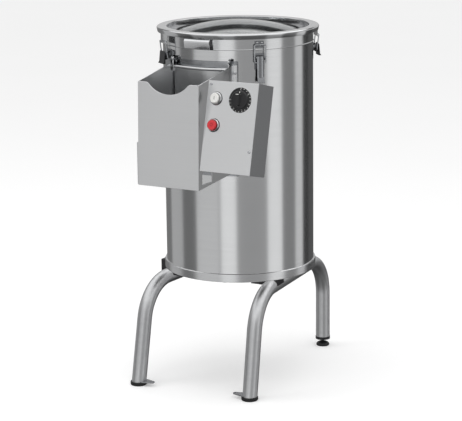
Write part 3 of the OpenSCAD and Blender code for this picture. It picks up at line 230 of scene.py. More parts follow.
# nitrile rubber: dull, a little dusty on its high spots
RUBBER = Finish("moulded nitrile rubber", "black_rubber", "#161617", "#242425", 0.62, 0.08, 0.0,
                Grain.CLOUDY, 2.0, 0.03)
# phenolic plate and knob, pressed and then printed: black and fairly glossy
DIAL_BLACK = Finish("printed dial black", "timer_black", "#101012", "#1B1B1D", 0.3, 0.05, 0.0,
                    Grain.CLOUDY, 1.0, 0.01)
# nylon from a polished mould, coloured through; the white also stands for the dial's white ink and the knob bar's
# painted highlight
WHITE_CAP = Finish("moulded white nylon", "white_button", "#E9E9E6", "#DCDCD8", 0.3, 0.04, 0.0,
                   Grain.CLOUDY, 2.0, 0.01)
RED_CAP = Finish("moulded red nylon", "red_button", "#D0353B", "#C22D34", 0.28, 0.04, 0.0, Grain.CLOUDY, 2.0, 0.01)
# PMMA blown over a ring: clear with a gentle gloss
CLEAR_ACRYLIC = Finish("blown clear acrylic", "clear_dome", "#F2F6F7", "#ECF1F3", 0.03, 0.01, 0.0,
                       Grain.CLOUDY, 40.0, 0.002, 0.0, 0.0, 1.0, 1.49)
# dark red ink, pad-printed on the stop cap
RED_PRINT = Finish("printed dark red", "red_button", "#7E141B", "#74121A", 0.35, 0.04)
# silicon carbide grit in resin, drawn 4 mm coarse so that it shows
ABRASIVE = Finish("bonded carbide grit", "abrasive", "#262629", "#3C3C40", 0.78, 0.1, 0.0, Grain.GRIT, 4.0, 0.8)
# cold-drawn wire, shafts and screws with bright zinc plating
ZINC = Finish("bright zinc-plated steel", "zinc_steel", "#D2D4D6", "#BDBFC3", 0.24, 0.06, 1.0,
              Grain.CLOUDY, 3.0, 0.01)
# grey iron from a sand mould, oiled: rough, and not fully metallic
CAST_IRON = Finish("sand-cast iron, oiled", "cast_housing", "#5B5C5E", "#47484A", 0.6, 0.1, 0.85,
                   Grain.CLOUDY, 1.6, 0.12)
# stoving enamel over a cast case: a slight orange peel
MOTOR_PAINT = Finish("grey stoved motor paint", "motor_paint", "#6D7378", "#5F656A", 0.42, 0.06, 0.0,
                     Grain.CLOUDY, 1.5, 0.04, 0.0, 0.2)
# free-cutting brass, turned: fine tool marks, dulled by handling
BRASS = Finish("turned brass", "brass", "#C9A558", "#B18D45", 0.26, 0.06, 1.0, Grain.UPRIGHT, 1.0, 0.01)
# glass-filled nylon from a rough mould
CONTACT_GREY = Finish("moulded contact block", "contact_plastic", "#4A4D50", "#3E4144", 0.45, 0.05)


# ---------- making meshes ----------


def applied(piece: bpy.types.Object) -> bpy.types.Object:
    """Turns a piece's live modifiers into a plain mesh and removes them."""
    bpy.context.view_layer.update()
    graph = bpy.context.evaluated_depsgraph_get()
    mesh = bpy.data.meshes.new_from_object(piece.evaluated_get(graph), preserve_all_data_layers=True, depsgraph=graph)
    old = piece.data
    piece.modifiers.clear()
    piece.data = mesh
    bpy.data.meshes.remove(old)
    return piece


def shaded(piece: bpy.types.Object) -> bpy.types.Object:
    """Shades a piece's curves smooth, keeps its creases and lets its flat faces stay flat."""
    piece.data.shade_smooth()
    piece.data.set_sharp_from_angle(angle=CREASE)
    weight = piece.modifiers.new("flats", "WEIGHTED_NORMAL")
    weight.keep_sharp = True
    return applied(piece)


def softened(piece: bpy.types.Object, edge: float) -> bpy.types.Object:
    """Rounds a closed piece's sharp edges by a width in millimetres, not at all at 0, and shades it."""
    if edge > 0:
        bevel = piece.modifiers.new("edges", "BEVEL")
        bevel.width = edge * MM
        bevel.segments = 2
        bevel.limit_method = "ANGLE"
        bevel.angle_limit = CREASE
        bevel.use_clamp_overlap = False
        bevel.miter_outer = "MITER_ARC"
        applied(piece)
    return shaded(piece)


def linked(name: str, data: bpy.types.ID) -> bpy.types.Object:
    """Makes an object of a mesh, text, camera or lamp and puts it in the scene."""
    thing = bpy.data.objects.new(name, data)
    bpy.context.scene.collection.objects.link(thing)
    return thing


def arc(centre: tuple[float, float], across: float, up: float, turns: Iterable[int]) -> list[tuple[float, float]]:
    """Corners on an ellipse about a centre, at angles in degrees from its right end."""
    return [(centre[0] + across * math.cos(math.radians(a)), centre[1] + up * math.sin(math.radians(a)))
            for a in turns]


class Blank:
    """A mesh being made, in millimetres from the drum's axis."""

    def __init__(self) -> None:
        """Starts empty."""
        self.mesh = bmesh.new()

    def turn(self, outline: Outline, steps: int, place: Matrix = UNTURNED) -> "Blank":
        """Turns a closed outline about the upright axis.

        Args:
            outline: (radius, height) corners.
            steps: faces in the whole turn.
            place: where the turned form goes.

        Returns:
            The blank itself.
        """
        rings = []
        for i in range(steps):
            angle = math.radians(360.0 * i / steps)
            rings.append([self.mesh.verts.new(place @ Vector((r * math.sin(angle), -r * math.cos(angle), z)))
                          for r, z in outline])
        for i in range(steps):
            one, two = rings[i], rings[(i + 1) % steps]
            for j in range(len(outline)):
                k = (j + 1) % len(outline)
                self.mesh.faces.new((one[j], one[k], two[k], two[j]))
        return self

    def slab(self, outline: Outline, low: float, high: float, place: Matrix = UNTURNED) -> "Blank":
        """Raises a closed (x, y) outline from one height to another."""
        bottom = [self.mesh.verts.new(place @ Vector((x, y, low))) for x, y in outline]
        top = [self.mesh.verts.new(place @ Vector((x, y, high))) for x, y in outline]
        self.mesh.faces.new(bottom[::-1])
        self.mesh.faces.new(top)
        for j in range(len(outline)):
            k = (j + 1) % len(outline)
            self.mesh.faces.new((bottom[j], bottom[k], top[k], top[j]))
        return self

    def wall(self, outer: float, inner: float, azimuths: Sequence[float], heights: Sequence[float],
             gap: tuple[float, float, float]) -> "Blank":
        """Bends a sheet all round the axis, with one opening.

        Args:
            outer: outside radius.
            inner: inside radius.
            azimuths: the columns' edges in degrees, once round.
            heights: the rows' edges.
            gap: the opening's half-angle in degrees, its foot and its top.

        Returns:
            The blank itself.
        """
        def skin(radius: float) -> list[list[bmesh.types.BMVert]]:
            ways = [(math.sin(math.radians(a)), -math.cos(math.radians(a))) for a in azimuths]
            return [[self.mesh.verts.new((radius * x, radius * y, z)) for z in heights] for x, y in ways]
        out, into = skin(outer), skin(inner)
        count, rows = len(azimuths), len(heights) - 1
        edges = [*azimuths, azimuths[0] + 360]
        middle = [(edges[i] + edges[i + 1]) / 2 for i in range(count)]

        def solid(i: int, j: int) -> bool:
            if not 0 <= j < rows:
                return False
            centre = (heights[j] + heights[j + 1]) / 2
            return not (abs((middle[i % count] + 180) % 360 - 180) < gap[0] and gap[1] < centre < gap[2])
        for i in range(count):
            n = (i + 1) % count
            for j in range(rows):
                if not solid(i, j):
                    continue
                self.mesh.faces.new((out[i][j], out[n][j], out[n][j + 1], out[i][j + 1]))
                self.mesh.faces.new((into[i][j], into[i][j + 1], into[n][j + 1], into[n][j]))
                if not solid(i, j - 1):
                    self.mesh.faces.new((into[i][j], into[n][j], out[n][j], out[i][j]))
                if not solid(i, j + 1):
                    self.mesh.faces.new((into[i][j + 1], out[i][j + 1], out[n][j + 1], into[n][j + 1]))
                if not solid(i - 1, j):
                    self.mesh.faces.new((into[i][j], out[i][j], out[i][j + 1], into[i][j + 1]))
                if not solid(i + 1, j):
                    self.mesh.faces.new((into[n][j], into[n][j + 1], out[n][j + 1], out[n][j]))
        return self

    def piece(self, name: str, real: bool = True) -> bpy.types.Object:
        """Closes the mesh and makes it an object.

        Args:
            name: the object's name.
            real: True puts it in its place on the machine, False leaves it at the origin as a pattern.

        Returns:
            The object, in metres.
        """
        bmesh.ops.remove_doubles(self.mesh, verts=self.mesh.verts, dist=0.002)
        bmesh.ops.recalc_face_normals(self.mesh, faces=self.mesh.faces)
        mesh = bpy.data.meshes.new(name)
        self.mesh.to_mesh(mesh)
        self.mesh.free()
        mesh.transform(Matrix.Translation(AXIS if real else Vector()) @ Matrix.Scale(MM, 4))
        return linked(name, mesh)


def wire(name: str, corners: Iterable[Place]) -> bpy.types.Object:
    """Makes a bare line through corners, for a sweep to follow."""
    points = [at(*corner) for corner in corners]
    mesh = bpy.data.meshes.new(name)
    mesh.from_pydata(points, [(i, i + 1) for i in range(len(points) - 1)], [])
    return linked(name, mesh)


def reworked(node: str, edge: float) -> bpy.types.Object:
    """Makes a finer copy of a solid's mesh, with its sharp edges rounded by a width in millimetres."""
    work = bmesh.new()
    work.from_mesh(frame["nodes"][node].data)
    bmesh.ops.remove_doubles(work, verts=work.verts, dist=0.000002)
    bmesh.ops.dissolve_limit(work, angle_limit=math.radians(0.6), verts=work.verts, edges=work.edges)
    mesh = bpy.data.meshes.new(f"{node}_finished")
    work.to_mesh(mesh)
    work.free()
    return softened(linked(f"{node}_finished", mesh), edge)


def issue(piece: bpy.types.Object, body: str, finish: Finish, *nodes: str) -> None:
    """Signs off a finished piece.

    Args:
        piece: the piece.
        body: the body that it moves with.
        finish: its material.
        nodes: the solids that it stands for.
    """
    piece.data.materials.clear()
    piece.data.materials.append(finish.material())
    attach(piece, body)
    if nodes:
        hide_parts(*nodes)
    LOG.info("%s rides on %s in %s, %d faces", piece.name, body, finish.title, len(piece.data.polygons))


def rework_all(finish: Finish, edges: dict[str, float]) -> None:
    """Reworks several solids that share one finish; the numbers are their edges' rounds in millimetres."""
    for node, edge in edges.items():
        issue(reworked(node, edge), BODY_OF[node], finish, node)


# ---------- node trees for what repeats or follows a path ----------


class Recipe:
    """A geometry tree with named inputs, run once on a piece and then made plain."""

    def __init__(self, title: str, sockets: dict[str, tuple[str, Any]]) -> None:
        """Starts the tree with its inputs: each has a socket type and a value."""
        self.tree = bpy.data.node_groups.new(title, "GeometryNodeTree")
        face = self.tree.interface
        face.new_socket("Geometry", in_out="INPUT", socket_type="NodeSocketGeometry")
        for name, (kind, value) in {**sockets, "Material": ("NodeSocketMaterial", None)}.items():
            socket = face.new_socket(name, in_out="INPUT", socket_type=kind)
            if value is not None:
                socket.default_value = value
        face.new_socket("Geometry", in_out="OUTPUT", socket_type="NodeSocketGeometry")
        self.inputs = add(self.tree, "NodeGroupInput").outputs

    def close(self, geometry: bpy.types.NodeSocket, smooth: bool = True) -> "Recipe":
        """Ends the tree: real geometry, shaded, with its material."""
        real = add(self.tree, "GeometryNodeRealizeInstances", {"Geometry": geometry})
        soft = add(self.tree, "GeometryNodeSetShadeSmooth", {"Geometry": real.outputs[0], "Shade Smooth": smooth})
        done = add(self.tree, "GeometryNodeSetMaterial",
                   {"Geometry": soft.outputs[0], "Material": self.inputs["Material"]})
        add(self.tree, "NodeGroupOutput", {"Geometry": done.outputs[0]})
        return self

    def run(self, piece: bpy.types.Object, finish: Finish, values: dict[str, Any]) -> bpy.types.Object:
        """Runs the tree on a piece with these input values."""
        modifier = piece.modifiers.new("recipe", "NODES")
        modifier.node_group = self.tree
        given = {**values, "Material": finish.material()}
        for item in self.tree.interface.items_tree:
            if item.in_out == "INPUT" and item.name in given:
                modifier[item.identifier] = given[item.name]
        return applied(piece)


def sweep_recipe() -> Recipe:
    """A round bar bent along a line, its corners rounded."""
    recipe = Recipe("bent bar", {
        "Radius": ("NodeSocketFloat", 0.002), "Bend": ("NodeSocketFloat", 0.01), "Sides": ("NodeSocketInt", 24),
        "Steps": ("NodeSocketInt", 12), "Closed Ends": ("NodeSocketBool", True)})
    tree, given = recipe.tree, recipe.inputs
    line = add(tree, "GeometryNodeMeshToCurve", {"Mesh": given["Geometry"]})
    bent = add(tree, "GeometryNodeFilletCurve", {
        "Curve": line.outputs[0], "Count": given["Steps"], "Radius": given["Bend"], "Limit Radius": True,
    }, mode="POLY")
    circle = add(tree, "GeometryNodeCurvePrimitiveCircle", {"Resolution": given["Sides"], "Radius": given["Radius"]})
    swept = add(tree, "GeometryNodeCurveToMesh", {
        "Curve": bent.outputs[0], "Profile Curve": circle.outputs[0], "Fill Caps": given["Closed Ends"]})
    return recipe.close(swept.outputs[0])


def fastener_recipe() -> Recipe:
    """One pattern set on every point, standing along that point's facing."""
    recipe = Recipe("fasteners", {"Head": ("NodeSocketObject", None)})
    tree, given = recipe.tree, recipe.inputs
    facing = add(tree, "GeometryNodeInputNamedAttribute", {"Name": "facing"}, data_type="FLOAT_VECTOR")
    turned = add(tree, "FunctionNodeAlignRotationToVector", {"Vector": facing.outputs[0]}, axis="Z")
    head = add(tree, "GeometryNodeObjectInfo", {"Object": given["Head"], "As Instance": True})
    spread = add(tree, "GeometryNodeInstanceOnPoints", {
        "Points": given["Geometry"], "Instance": head.outputs["Geometry"], "Rotation": turned.outputs[0]})
    return recipe.close(spread.outputs[0], smooth=False)


def marks_recipe() -> Recipe:
    """Short printed bars along an arc of the dial."""
    recipe = Recipe("dial marks", {
        "Count": ("NodeSocketInt", 31), "Radius": ("NodeSocketFloat", 0.028), "Start": ("NodeSocketFloat", 0.0),
        "Sweep": ("NodeSocketFloat", 6.0), "Bar": ("NodeSocketVector", (0.0006, 0.003, 0.0002))})
    tree, given = recipe.tree, recipe.inputs
    arc = add(tree, "GeometryNodeCurveArc", {
        "Resolution": 64, "Radius": given["Radius"], "Start Angle": given["Start"], "Sweep Angle": given["Sweep"]})
    points = add(tree, "GeometryNodeCurveToPoints", {"Curve": arc.outputs["Curve"], "Count": given["Count"]},
                 mode="COUNT")
    turned = add(tree, "FunctionNodeAlignRotationToVector", {"Vector": points.outputs["Tangent"]}, axis="X")
    bar = add(tree, "GeometryNodeMeshCube", {"Size": given["Bar"]})
    spread = add(tree, "GeometryNodeInstanceOnPoints", {
        "Points": points.outputs["Points"], "Instance": bar.outputs[0], "Rotation": turned.outputs[0]})
    return recipe.close(spread.outputs[0], smooth=False)


def thread_recipe() -> Recipe:
    """A screw thread: a three-sided wire wound up the Z axis."""
    recipe = Recipe("thread", {
        "Turns": ("NodeSocketFloat", 8.0), "Radius": ("NodeSocketFloat", 0.01), "Height": ("NodeSocketFloat", 0.01),
        "Tooth": ("NodeSocketFloat", 0.0008), "Steps": ("NodeSocketInt", 24)})
    tree, given = recipe.tree, recipe.inputs
    coil = add(tree, "GeometryNodeCurveSpiral", {
        "Resolution": given["Steps"], "Rotations": given["Turns"], "Start Radius": given["Radius"],
        "End Radius": given["Radius"], "Height": given["Height"]})
    tooth = add(tree, "GeometryNodeCurvePrimitiveCircle", {"Resolution": 4, "Radius": given["Tooth"]})
    wound = add(tree, "GeometryNodeCurveToMesh", {
        "Curve": coil.outputs[0], "Profile Curve": tooth.outputs[0], "Fill Caps": True})
    return recipe.close(wound.outputs[0], smooth=False)


class Workshop:
    """Holds the node trees and makes what they repeat."""

    def __init__(self) -> None:
        """Builds each tree once."""
        self.sweep = sweep_recipe()
        self.fasteners = fastener_recipe()
        self.marks = marks_recipe()
        self.thread = thread_recipe()

    def bar(self, name: str, corners: Iterable[Place], radius: float, bend: float, finish: Finish,
            sides: int, steps: int, closed: bool = True) -> bpy.types.Object:
        """Sweeps a round bar along corners.

        Args:
            name: the bar's name.
            corners: its centre line's corners in millimetres from the drum's axis.
            radius: the bar's radius in millimetres.
            bend: the radius that its corners are rounded to.
            finish: its material.
            sides: faces round the bar.
            steps: faces along each bend.
            closed: whether its ends are closed.

        Returns:
            The bar.
        """
        return self.sweep.run(wire(name, corners), finish, {
            "Radius": radius * MM, "Bend": bend * MM, "Sides": sides, "Steps": steps, "Closed Ends": closed})

    def heads(self, name: str, head: Blank, seats: Sequence[tuple[Vector, Vector]], edge: float,
              finish: Finish) -> bpy.types.Object:
        """Sets one head on every seat.

        Args:
            name: the finished object's name.
            head: the head's mesh, seated at its origin and standing up Z.
            seats: each seat's place in millimetres from the drum's axis, and the way it faces.
            edge: the round on the head's edges in millimetres.
            finish: the heads' material.

        Returns:
            All the heads as one object.
        """
        pattern = softened(head.piece(f"{name}_pattern", real=False), edge)
        mesh = bpy.data.meshes.new(name)
        mesh.from_pydata([at(*spot) for spot, _ in seats], [], [])
        facing = mesh.attributes.new("facing", "FLOAT_VECTOR", "POINT")
        for i, (_, way) in enumerate(seats):
            facing.data[i].vector = way
        piece = self.fasteners.run(linked(name, mesh), finish, {"Head": pattern})
        bpy.data.objects.remove(pattern)
        return shaded(piece)

    def threaded(self, name: str, radius: float, height: float, pitch: float, place: Matrix,
                 finish: Finish) -> bpy.types.Object:
        """Winds a thread of a pitch up a stud whose place is in millimetres."""
        piece = self.thread.run(linked(name, bpy.data.meshes.new(name)), finish, {
            "Turns": height / pitch, "Radius": radius * MM, "Height": height * MM, "Tooth": pitch * 0.42 * MM})
        piece.data.transform(metres(place) @ Matrix.Scale(1 / MM, 4))
        return piece


def socket_head(radius: float, height: float) -> Blank:
    """A button head with a socket sunk into its top, standing on z 0."""
    socket, deep = radius * 0.42, height * 0.45
    return Blank().turn([(0, -0.5), (radius, -0.5), (radius, height * 0.45), (radius * 0.9, height * 0.8),
                         (radius * 0.62, height), (socket, height), (socket, height - deep), (0, height - deep)], 32)


def dome_head(radius: float, height: float) -> Blank:
    """A domed rivet head, standing on z 0."""
    return Blank().turn([(0, -0.4), (radius, -0.4)] + arc((0, 0), radius, height, range(0, 91, 15)), 24)


def around(azimuth: float, x: float, y: float, z: float) -> Vector:
    """Turns a place on the front (-Y) station to a station at another azimuth."""
    return Matrix.Rotation(math.radians(azimuth), 3, "Z") @ Vector((x, y, z))


# ---------- the machine ----------


@dataclass(frozen=True)
class Stand:
    """Two bent tubes on three feet that carry the drum."""

    tube_r: float = 20.0
    wall: float = 2.0
    bend: float = 115.0
    level: float = 273.0
    toe: tuple[float, float] = (1.07, 5.5)
    splay_at: float = 53.07
    cap_r: float = 22.5
    cap_h: float = 10.0
    left: tuple[float, float, float] = (-208.0, -205.0, -3.0)
    right: tuple[float, float, float] = (125.0, -180.0, 5.26)
    left_run: float = 277.9
    right_run: float = 534.25
    rear: tuple[float, float] = (76.0, 352.0)
    rear_end: float = 28.0
    pad_r: float = 19.0
    pad_h: float = 9.5
    stud_r: float = 3.6
    stud_top: float = 45.0
    thread_r: float = 3.7
    thread_long: float = 26.0
    thread_pitch: float = 1.5
    thread_low: float = 17.0

    def corners(self, foot: tuple[float, float, float], run: float, drop: float | None) -> list[Place]:
        """Centre line of a tube from its foot, back along its run, and down again where it has a drop."""
        line = [self.toe, (self.splay_at, self.level), (run, self.level)]
        if drop is not None:
            line.append((run, drop))
        x, y, turn = foot
        way = math.radians(turn)
        return [(x - math.sin(way) * u, y + math.cos(way) * u, z) for u, z in line]

    def tube(self, shop: Workshop, name: str, corners: list[Place]) -> bpy.types.Object:
        """Bends one tube with its real wall."""
        piece = shop.bar(name, corners, self.tube_r, self.bend, TUBE_STEEL, 48, 28, closed=False)
        skin = piece.modifiers.new("wall", "SOLIDIFY")
        skin.thickness = self.wall * MM
        skin.offset = -1.0
        return shaded(applied(piece))

    def build(self, shop: Workshop) -> None:
        """Makes the tubes, caps, insert and levelling foot, and reworks the rest."""
        side = self.tube(shop, "side_tube_bent", self.corners(self.right, self.right_run, self.rear_end))
        issue(side, "root", TUBE_STEEL, "side_tube")
        left = self.tube(shop, "left_tube_bent", self.corners(self.left, self.left_run, None))
        issue(left, "root", TUBE_STEEL, "front_left_tube")
        caps = Blank()
        for x, y, _ in (self.left, self.right):
            caps.turn([
                (0, 0), (self.cap_r - 1.5, 0), (self.cap_r, 2), (self.cap_r, self.cap_h - 1.2),
                (self.cap_r - 1.2, self.cap_h), (self.tube_r + 0.4, self.cap_h), (self.tube_r - 0.3, 3), (0, 3)
            ], 64, Matrix.Translation((x, y, 0)))
        issue(softened(caps.piece("foot_caps_moulded"), 0.5), "root", RUBBER, "front_foot_caps")
        here = Matrix.Translation((*self.rear, 0))
        pad = [(0, 0), (self.pad_r - 0.7, 0)] + arc((0, 3), self.pad_r, self.pad_h, range(0, 76, 7))
        stud = [(self.stud_r, 12.9), (self.stud_r, self.stud_top), (0, self.stud_top)]
        foot = Blank().turn(pad + stud, 64, here)
        issue(softened(foot.piece("levelling_foot_turned"), 0.5), "foot", RUBBER, "levelling_foot")
        up = here @ Matrix.Translation((0, 0, self.thread_low))
        thread = shop.threaded("levelling_thread", self.thread_r, self.thread_long, self.thread_pitch, up, ZINC)
        issue(thread, "foot", ZINC)
        rework_all(BLACK_ABS, {"rear_tube_insert": 0.5, "saddle_blocks": 1.2})
        rework_all(LATCH_STEEL, {"anchor_tabs": 0.4})
        rework_all(SHEET_STEEL, {"base_plate": 0.3})
        rework_all(ZINC, {"frame_bolts": 0.5})


@dataclass(frozen=True)
class Drum:
    """The standing drum: its wall, ring, lining, openings and connections."""

    radius: float = 200.0
    inner: float = 198.5
    foot: float = 320.5
    top: float = 931.7
    gap_half: float = 76.0
    gap_low: float = 640.0
    gap_top: float = 880.0
    ring_r: float = 205.5
    ring_low: float = 319.0
    ring_top: float = 341.0
    flange_r: float = 109.5
    sheet: float = 1.5
    inlet: Place = (0.0, 210.0, 874.0)
    inlet_r: float = 10.2
    inlet_long: float = 13.0
    inlet_pitch: float = 1.8

    def build(self, shop: Workshop) -> None:
        """Makes the drum's wall and ring, and reworks what sits on them."""
        half = math.degrees(math.asin(self.gap_half / self.radius))
        inside = [half * (i / 8 - 1) for i in range(17)]
        outside = [half + (360 - 2 * half) * i / 126 for i in range(1, 126)]
        rows = [self.foot, 400, 480, 560, self.gap_low, 720, 800, self.gap_top, self.top]
        gap = (half, self.gap_low, self.gap_top)
        wall = Blank().wall(self.radius, self.inner, inside + outside, rows, gap)
        issue(shaded(wall.piece("drum_wall_rolled")), "root", SHELL_STEEL, "outer_shell")
        edge, top = self.ring_r, self.ring_top
        ring = Blank().turn([
            (self.radius + 0.3, top), (edge - 3.0, top), (edge - 0.9, top - 0.9), (edge, top - 3.0),
            (edge, self.ring_low + 0.6), (edge - 0.6, self.ring_low), (self.flange_r, self.ring_low),
            (self.flange_r, self.ring_low + self.sheet), (edge - self.sheet, self.ring_low + self.sheet),
            (edge - self.sheet, top - self.sheet - 1), (edge - self.sheet - 1, top - self.sheet),
            (self.radius + 0.3, top - self.sheet)], 192)
        issue(shaded(ring.piece("base_ring_rolled")), "root", RING_STEEL, "base_ring")
        rework_all(SHEET_STEEL, {"chamber_floor": 0.0, "drain_outlet": 0.5})
        rework_all(ABRASIVE, {"abrasive_lining": 0.0})
        rework_all(LATCH_STEEL, {"discharge_frame": 0.5})
        rework_all(RUBBER, {"discharge_seal": 0.4})
        rework_all(BRASS, {"water_inlet": 0.5})
        rework_all(BLACK_ABS, {"cable_gland": 0.6})
        back = Matrix.Translation(self.inlet) @ Matrix.Rotation(math.radians(-90), 4, "X")
        thread = shop.threaded("inlet_thread", self.inlet_r, self.inlet_long, self.inlet_pitch, back, BRASS)
        issue(thread, "root", BRASS)


@dataclass(frozen=True)
class Outfeed:
    """The discharge door and the folded hood over it."""

    screw_r: float = 3.6
    screw_h: float = 2.2
    screw_reach: float = 204.4
    screw_azimuth: float = 27.06
    screw_heights: tuple[float, float, float] = (646.0, 756.0, 874.0)

    def build(self, shop: Workshop) -> None:
        """Reworks the door and hood, and sets the hood's screws."""
        rework_all(SHEET_STEEL, {"discharge_door": 0.4, "discharge_hood": 0.7})
        seats = []
        for side in (-1, 1):
            for z in self.screw_heights:
                seats.append((around(side * self.screw_azimuth, 0, -self.screw_reach, z),
                              around(side * self.screw_azimuth, 0, -1, 0)))
        heads = shop.heads("hood_screw_heads", socket_head(self.screw_r, self.screw_h), seats, 0.25, ZINC)
        issue(heads, "root", ZINC, "hood_screws")


class Station(Enum):
    """Where each latch stands, in degrees from the hood (-Y) towards the right (+X)."""

    FRONT = 45.0
    REAR = 225.0
    LEFT = -36.0
    RIGHT = 130.0


@dataclass(frozen=True)
class Lid:
    """The loose lid: band, rim, pan and domed window."""

    band_r: float = 200.5
    band_in: float = 199.0
    seam: float = 934.0
    ledge: float = 1.4
    rim_r: float = 216.0
    rim_in: float = 191.0
    skirt: float = 961.0
    top: float = 975.0
    fold: float = 4.5
    tuck: float = 2.1
    sheet: float = 1.5
    pan_z: float = 959.0
    pan_in: float = 150.5
    window_r: float = 160.5
    window_z: float = 960.3
    rise: float = 26.0
    pane: float = 3.0
    grip_half: float = 38.0
    grip_out: float = 218.5
    grip_top: float = 960.5
    grip_h: float = 25.0
    grip_roll: float = 9.0
    grip_lean: float = 2.8
    weld_r: float = 199.8
    rivet_out: float = 204.6
    rivet_z: float = 951.0
    rivet_half: float = 6.0

    def band(self) -> bpy.types.Object:
        """The upright band, with the narrow sloping ledge at the seam."""
        out, high = self.band_r + self.ledge, self.top - self.sheet
        return Blank().turn([
            (self.band_in, high), (self.band_in, self.seam), (out - 0.3, self.seam - 1.4), (out, self.seam - 1.1),
            (self.band_r, self.seam + 1.4), (self.band_r, high)], 192).piece("lid_band_rolled")

    def rim(self) -> bpy.types.Object:
        """The turned-over rim: skirt, rounded shoulder, flat top and inner wall."""
        high, foot = self.top - self.sheet, self.rim_r - self.tuck
        centre, within = (self.rim_r - self.fold, self.top - self.fold), self.fold - self.sheet
        shoulder = arc(centre, self.fold, self.fold, range(0, 91, 15))
        nose = arc((self.rim_in, high), self.sheet, self.sheet, range(90, 181, 15))
        wall = [(self.rim_in - self.sheet, self.pan_z), (self.rim_in, self.pan_z), (self.rim_in, high)]
        lining = arc(centre, within, within, range(90, -1, -15))
        outline = [(foot - 0.3, self.skirt), (foot, self.skirt + 0.3)] + shoulder + nose + wall + lining
        return Blank().turn(outline + [(foot - self.sheet, self.skirt)], 192).piece("lid_rim_rolled")

    def dome(self) -> bpy.types.Object:
        """The window, one curved pane of even thickness."""
        radius = (self.window_r ** 2 + self.rise ** 2) / (2 * self.rise)
        low = self.window_z + self.rise - radius
        inner = radius - self.pane

        def shell(r: float, reach: float, count: int) -> list[tuple[float, float]]:
            steps = [reach * i / count for i in range(count + 1)]
            return [(x, low + math.sqrt(r * r - x ** 2)) for x in steps]
        inner_reach = math.sqrt(inner ** 2 - (self.window_z - low) ** 2)
        outline = shell(radius, self.window_r - 0.4, 28)[::-1] + shell(inner, inner_reach, 28)
        return Blank().turn([(self.window_r, self.window_z)] + outline, 160).piece("window_dome")

    def grip(self) -> bpy.types.Object:
        """The front grip: a sheet rolled over at the top, with closed ends, welded to the band."""
        roll, sheet, half, out, top = self.grip_roll, self.sheet, self.grip_half, self.grip_out, self.grip_top
        low, edge, centre = top - self.grip_h, out - self.grip_lean, (out - roll, top - roll)
        face = arc(centre, roll, roll, range(90, -1, -10)) + [(edge, low)]
        inside = arc(centre, roll - sheet, roll - sheet, range(0, 91, 10))
        blank = Blank().slab(face + [(edge - sheet, low)] + inside, -half, half, SIDEWAYS)
        back = [(x, -math.sqrt(self.weld_r ** 2 - x * x)) for x in (half * (1 - i / 6) for i in range(13))]
        blank.slab([(-half, roll - out), (half, roll - out)] + back, top - sheet, top)
        root = math.sqrt(self.weld_r ** 2 - half * half)
        for x in (-half, half - sheet):
            blank.slab([(root, top)] + face + [(root, low)], x, x + sheet, SIDEWAYS)
        return softened(blank.piece("lid_grip_folded"), 0.4)

    def build(self, shop: Workshop) -> None:
        """Makes the turned pieces, the gaskets and the rivets, and reworks the rest."""
        issue(shaded(self.band()), "lid", SHELL_STEEL, "lid_band")
        issue(shaded(self.rim()), "lid", BRIGHT_STEEL, "lid_rim")
        issue(shaded(self.dome()), "lid", CLEAR_ACRYLIC, "lid_window")
        pan = Blank().turn([(self.rim_in, self.pan_z), (self.rim_in, self.pan_z - self.sheet),
                            (self.pan_in, self.pan_z - self.sheet), (self.pan_in, self.pan_z)], 160)
        issue(softened(pan.piece("lid_pan_turned"), 0.3), "lid", BRIGHT_STEEL, "lid_pan")
        lip, low = self.window_r + 0.3, self.pan_z
        seal = Blank().turn([
            (self.pan_in + 2, low + 1.2), (self.pan_in + 2, low), (lip + 4, low), (lip + 4, low + 3.6),
            (lip + 3.2, low + 4.2), (lip + 0.8, low + 4.2), (lip, low + 3.4), (lip, low + 1.2)], 160)
        issue(shaded(seal.piece("window_seal_moulded")), "lid", RUBBER, "window_gasket")
        high, low = self.seam - 0.1, self.seam - 2.2
        joint = Blank().turn([(199.3, high), (196.7, high), (196.7, low), (199.3, low)], 160)
        issue(softened(joint.piece("seam_gasket_moulded"), 0.3), "lid", RUBBER, "lid_gasket")
        issue(self.grip(), "lid", BRIGHT_STEEL, "lid_grip")
        rework_all(SHELL_STEEL, {"lid_hooks": 0.4})
        rework_all(LATCH_STEEL, {"latch_keepers": 0.5})
        seats = [(around(toggle.value, x, -self.rivet_out, self.rivet_z), around(toggle.value, 0, -1, 0))
                 for toggle in (Station.FRONT, Station.REAR) for x in (-self.rivet_half, self.rivet_half)]
        issue(shop.heads("keeper_rivets", dome_head(2.6, 1.2), seats, 0.0, BRIGHT_STEEL), "lid", BRIGHT_STEEL)


@dataclass(frozen=True)
class Bail:
    """A wire bail's half width, its pins' ends, its reach at the pins and at the top, and its top bar's height."""

    half: float
    pin_in: float
    low_r: float
    top_r: float
    top: float


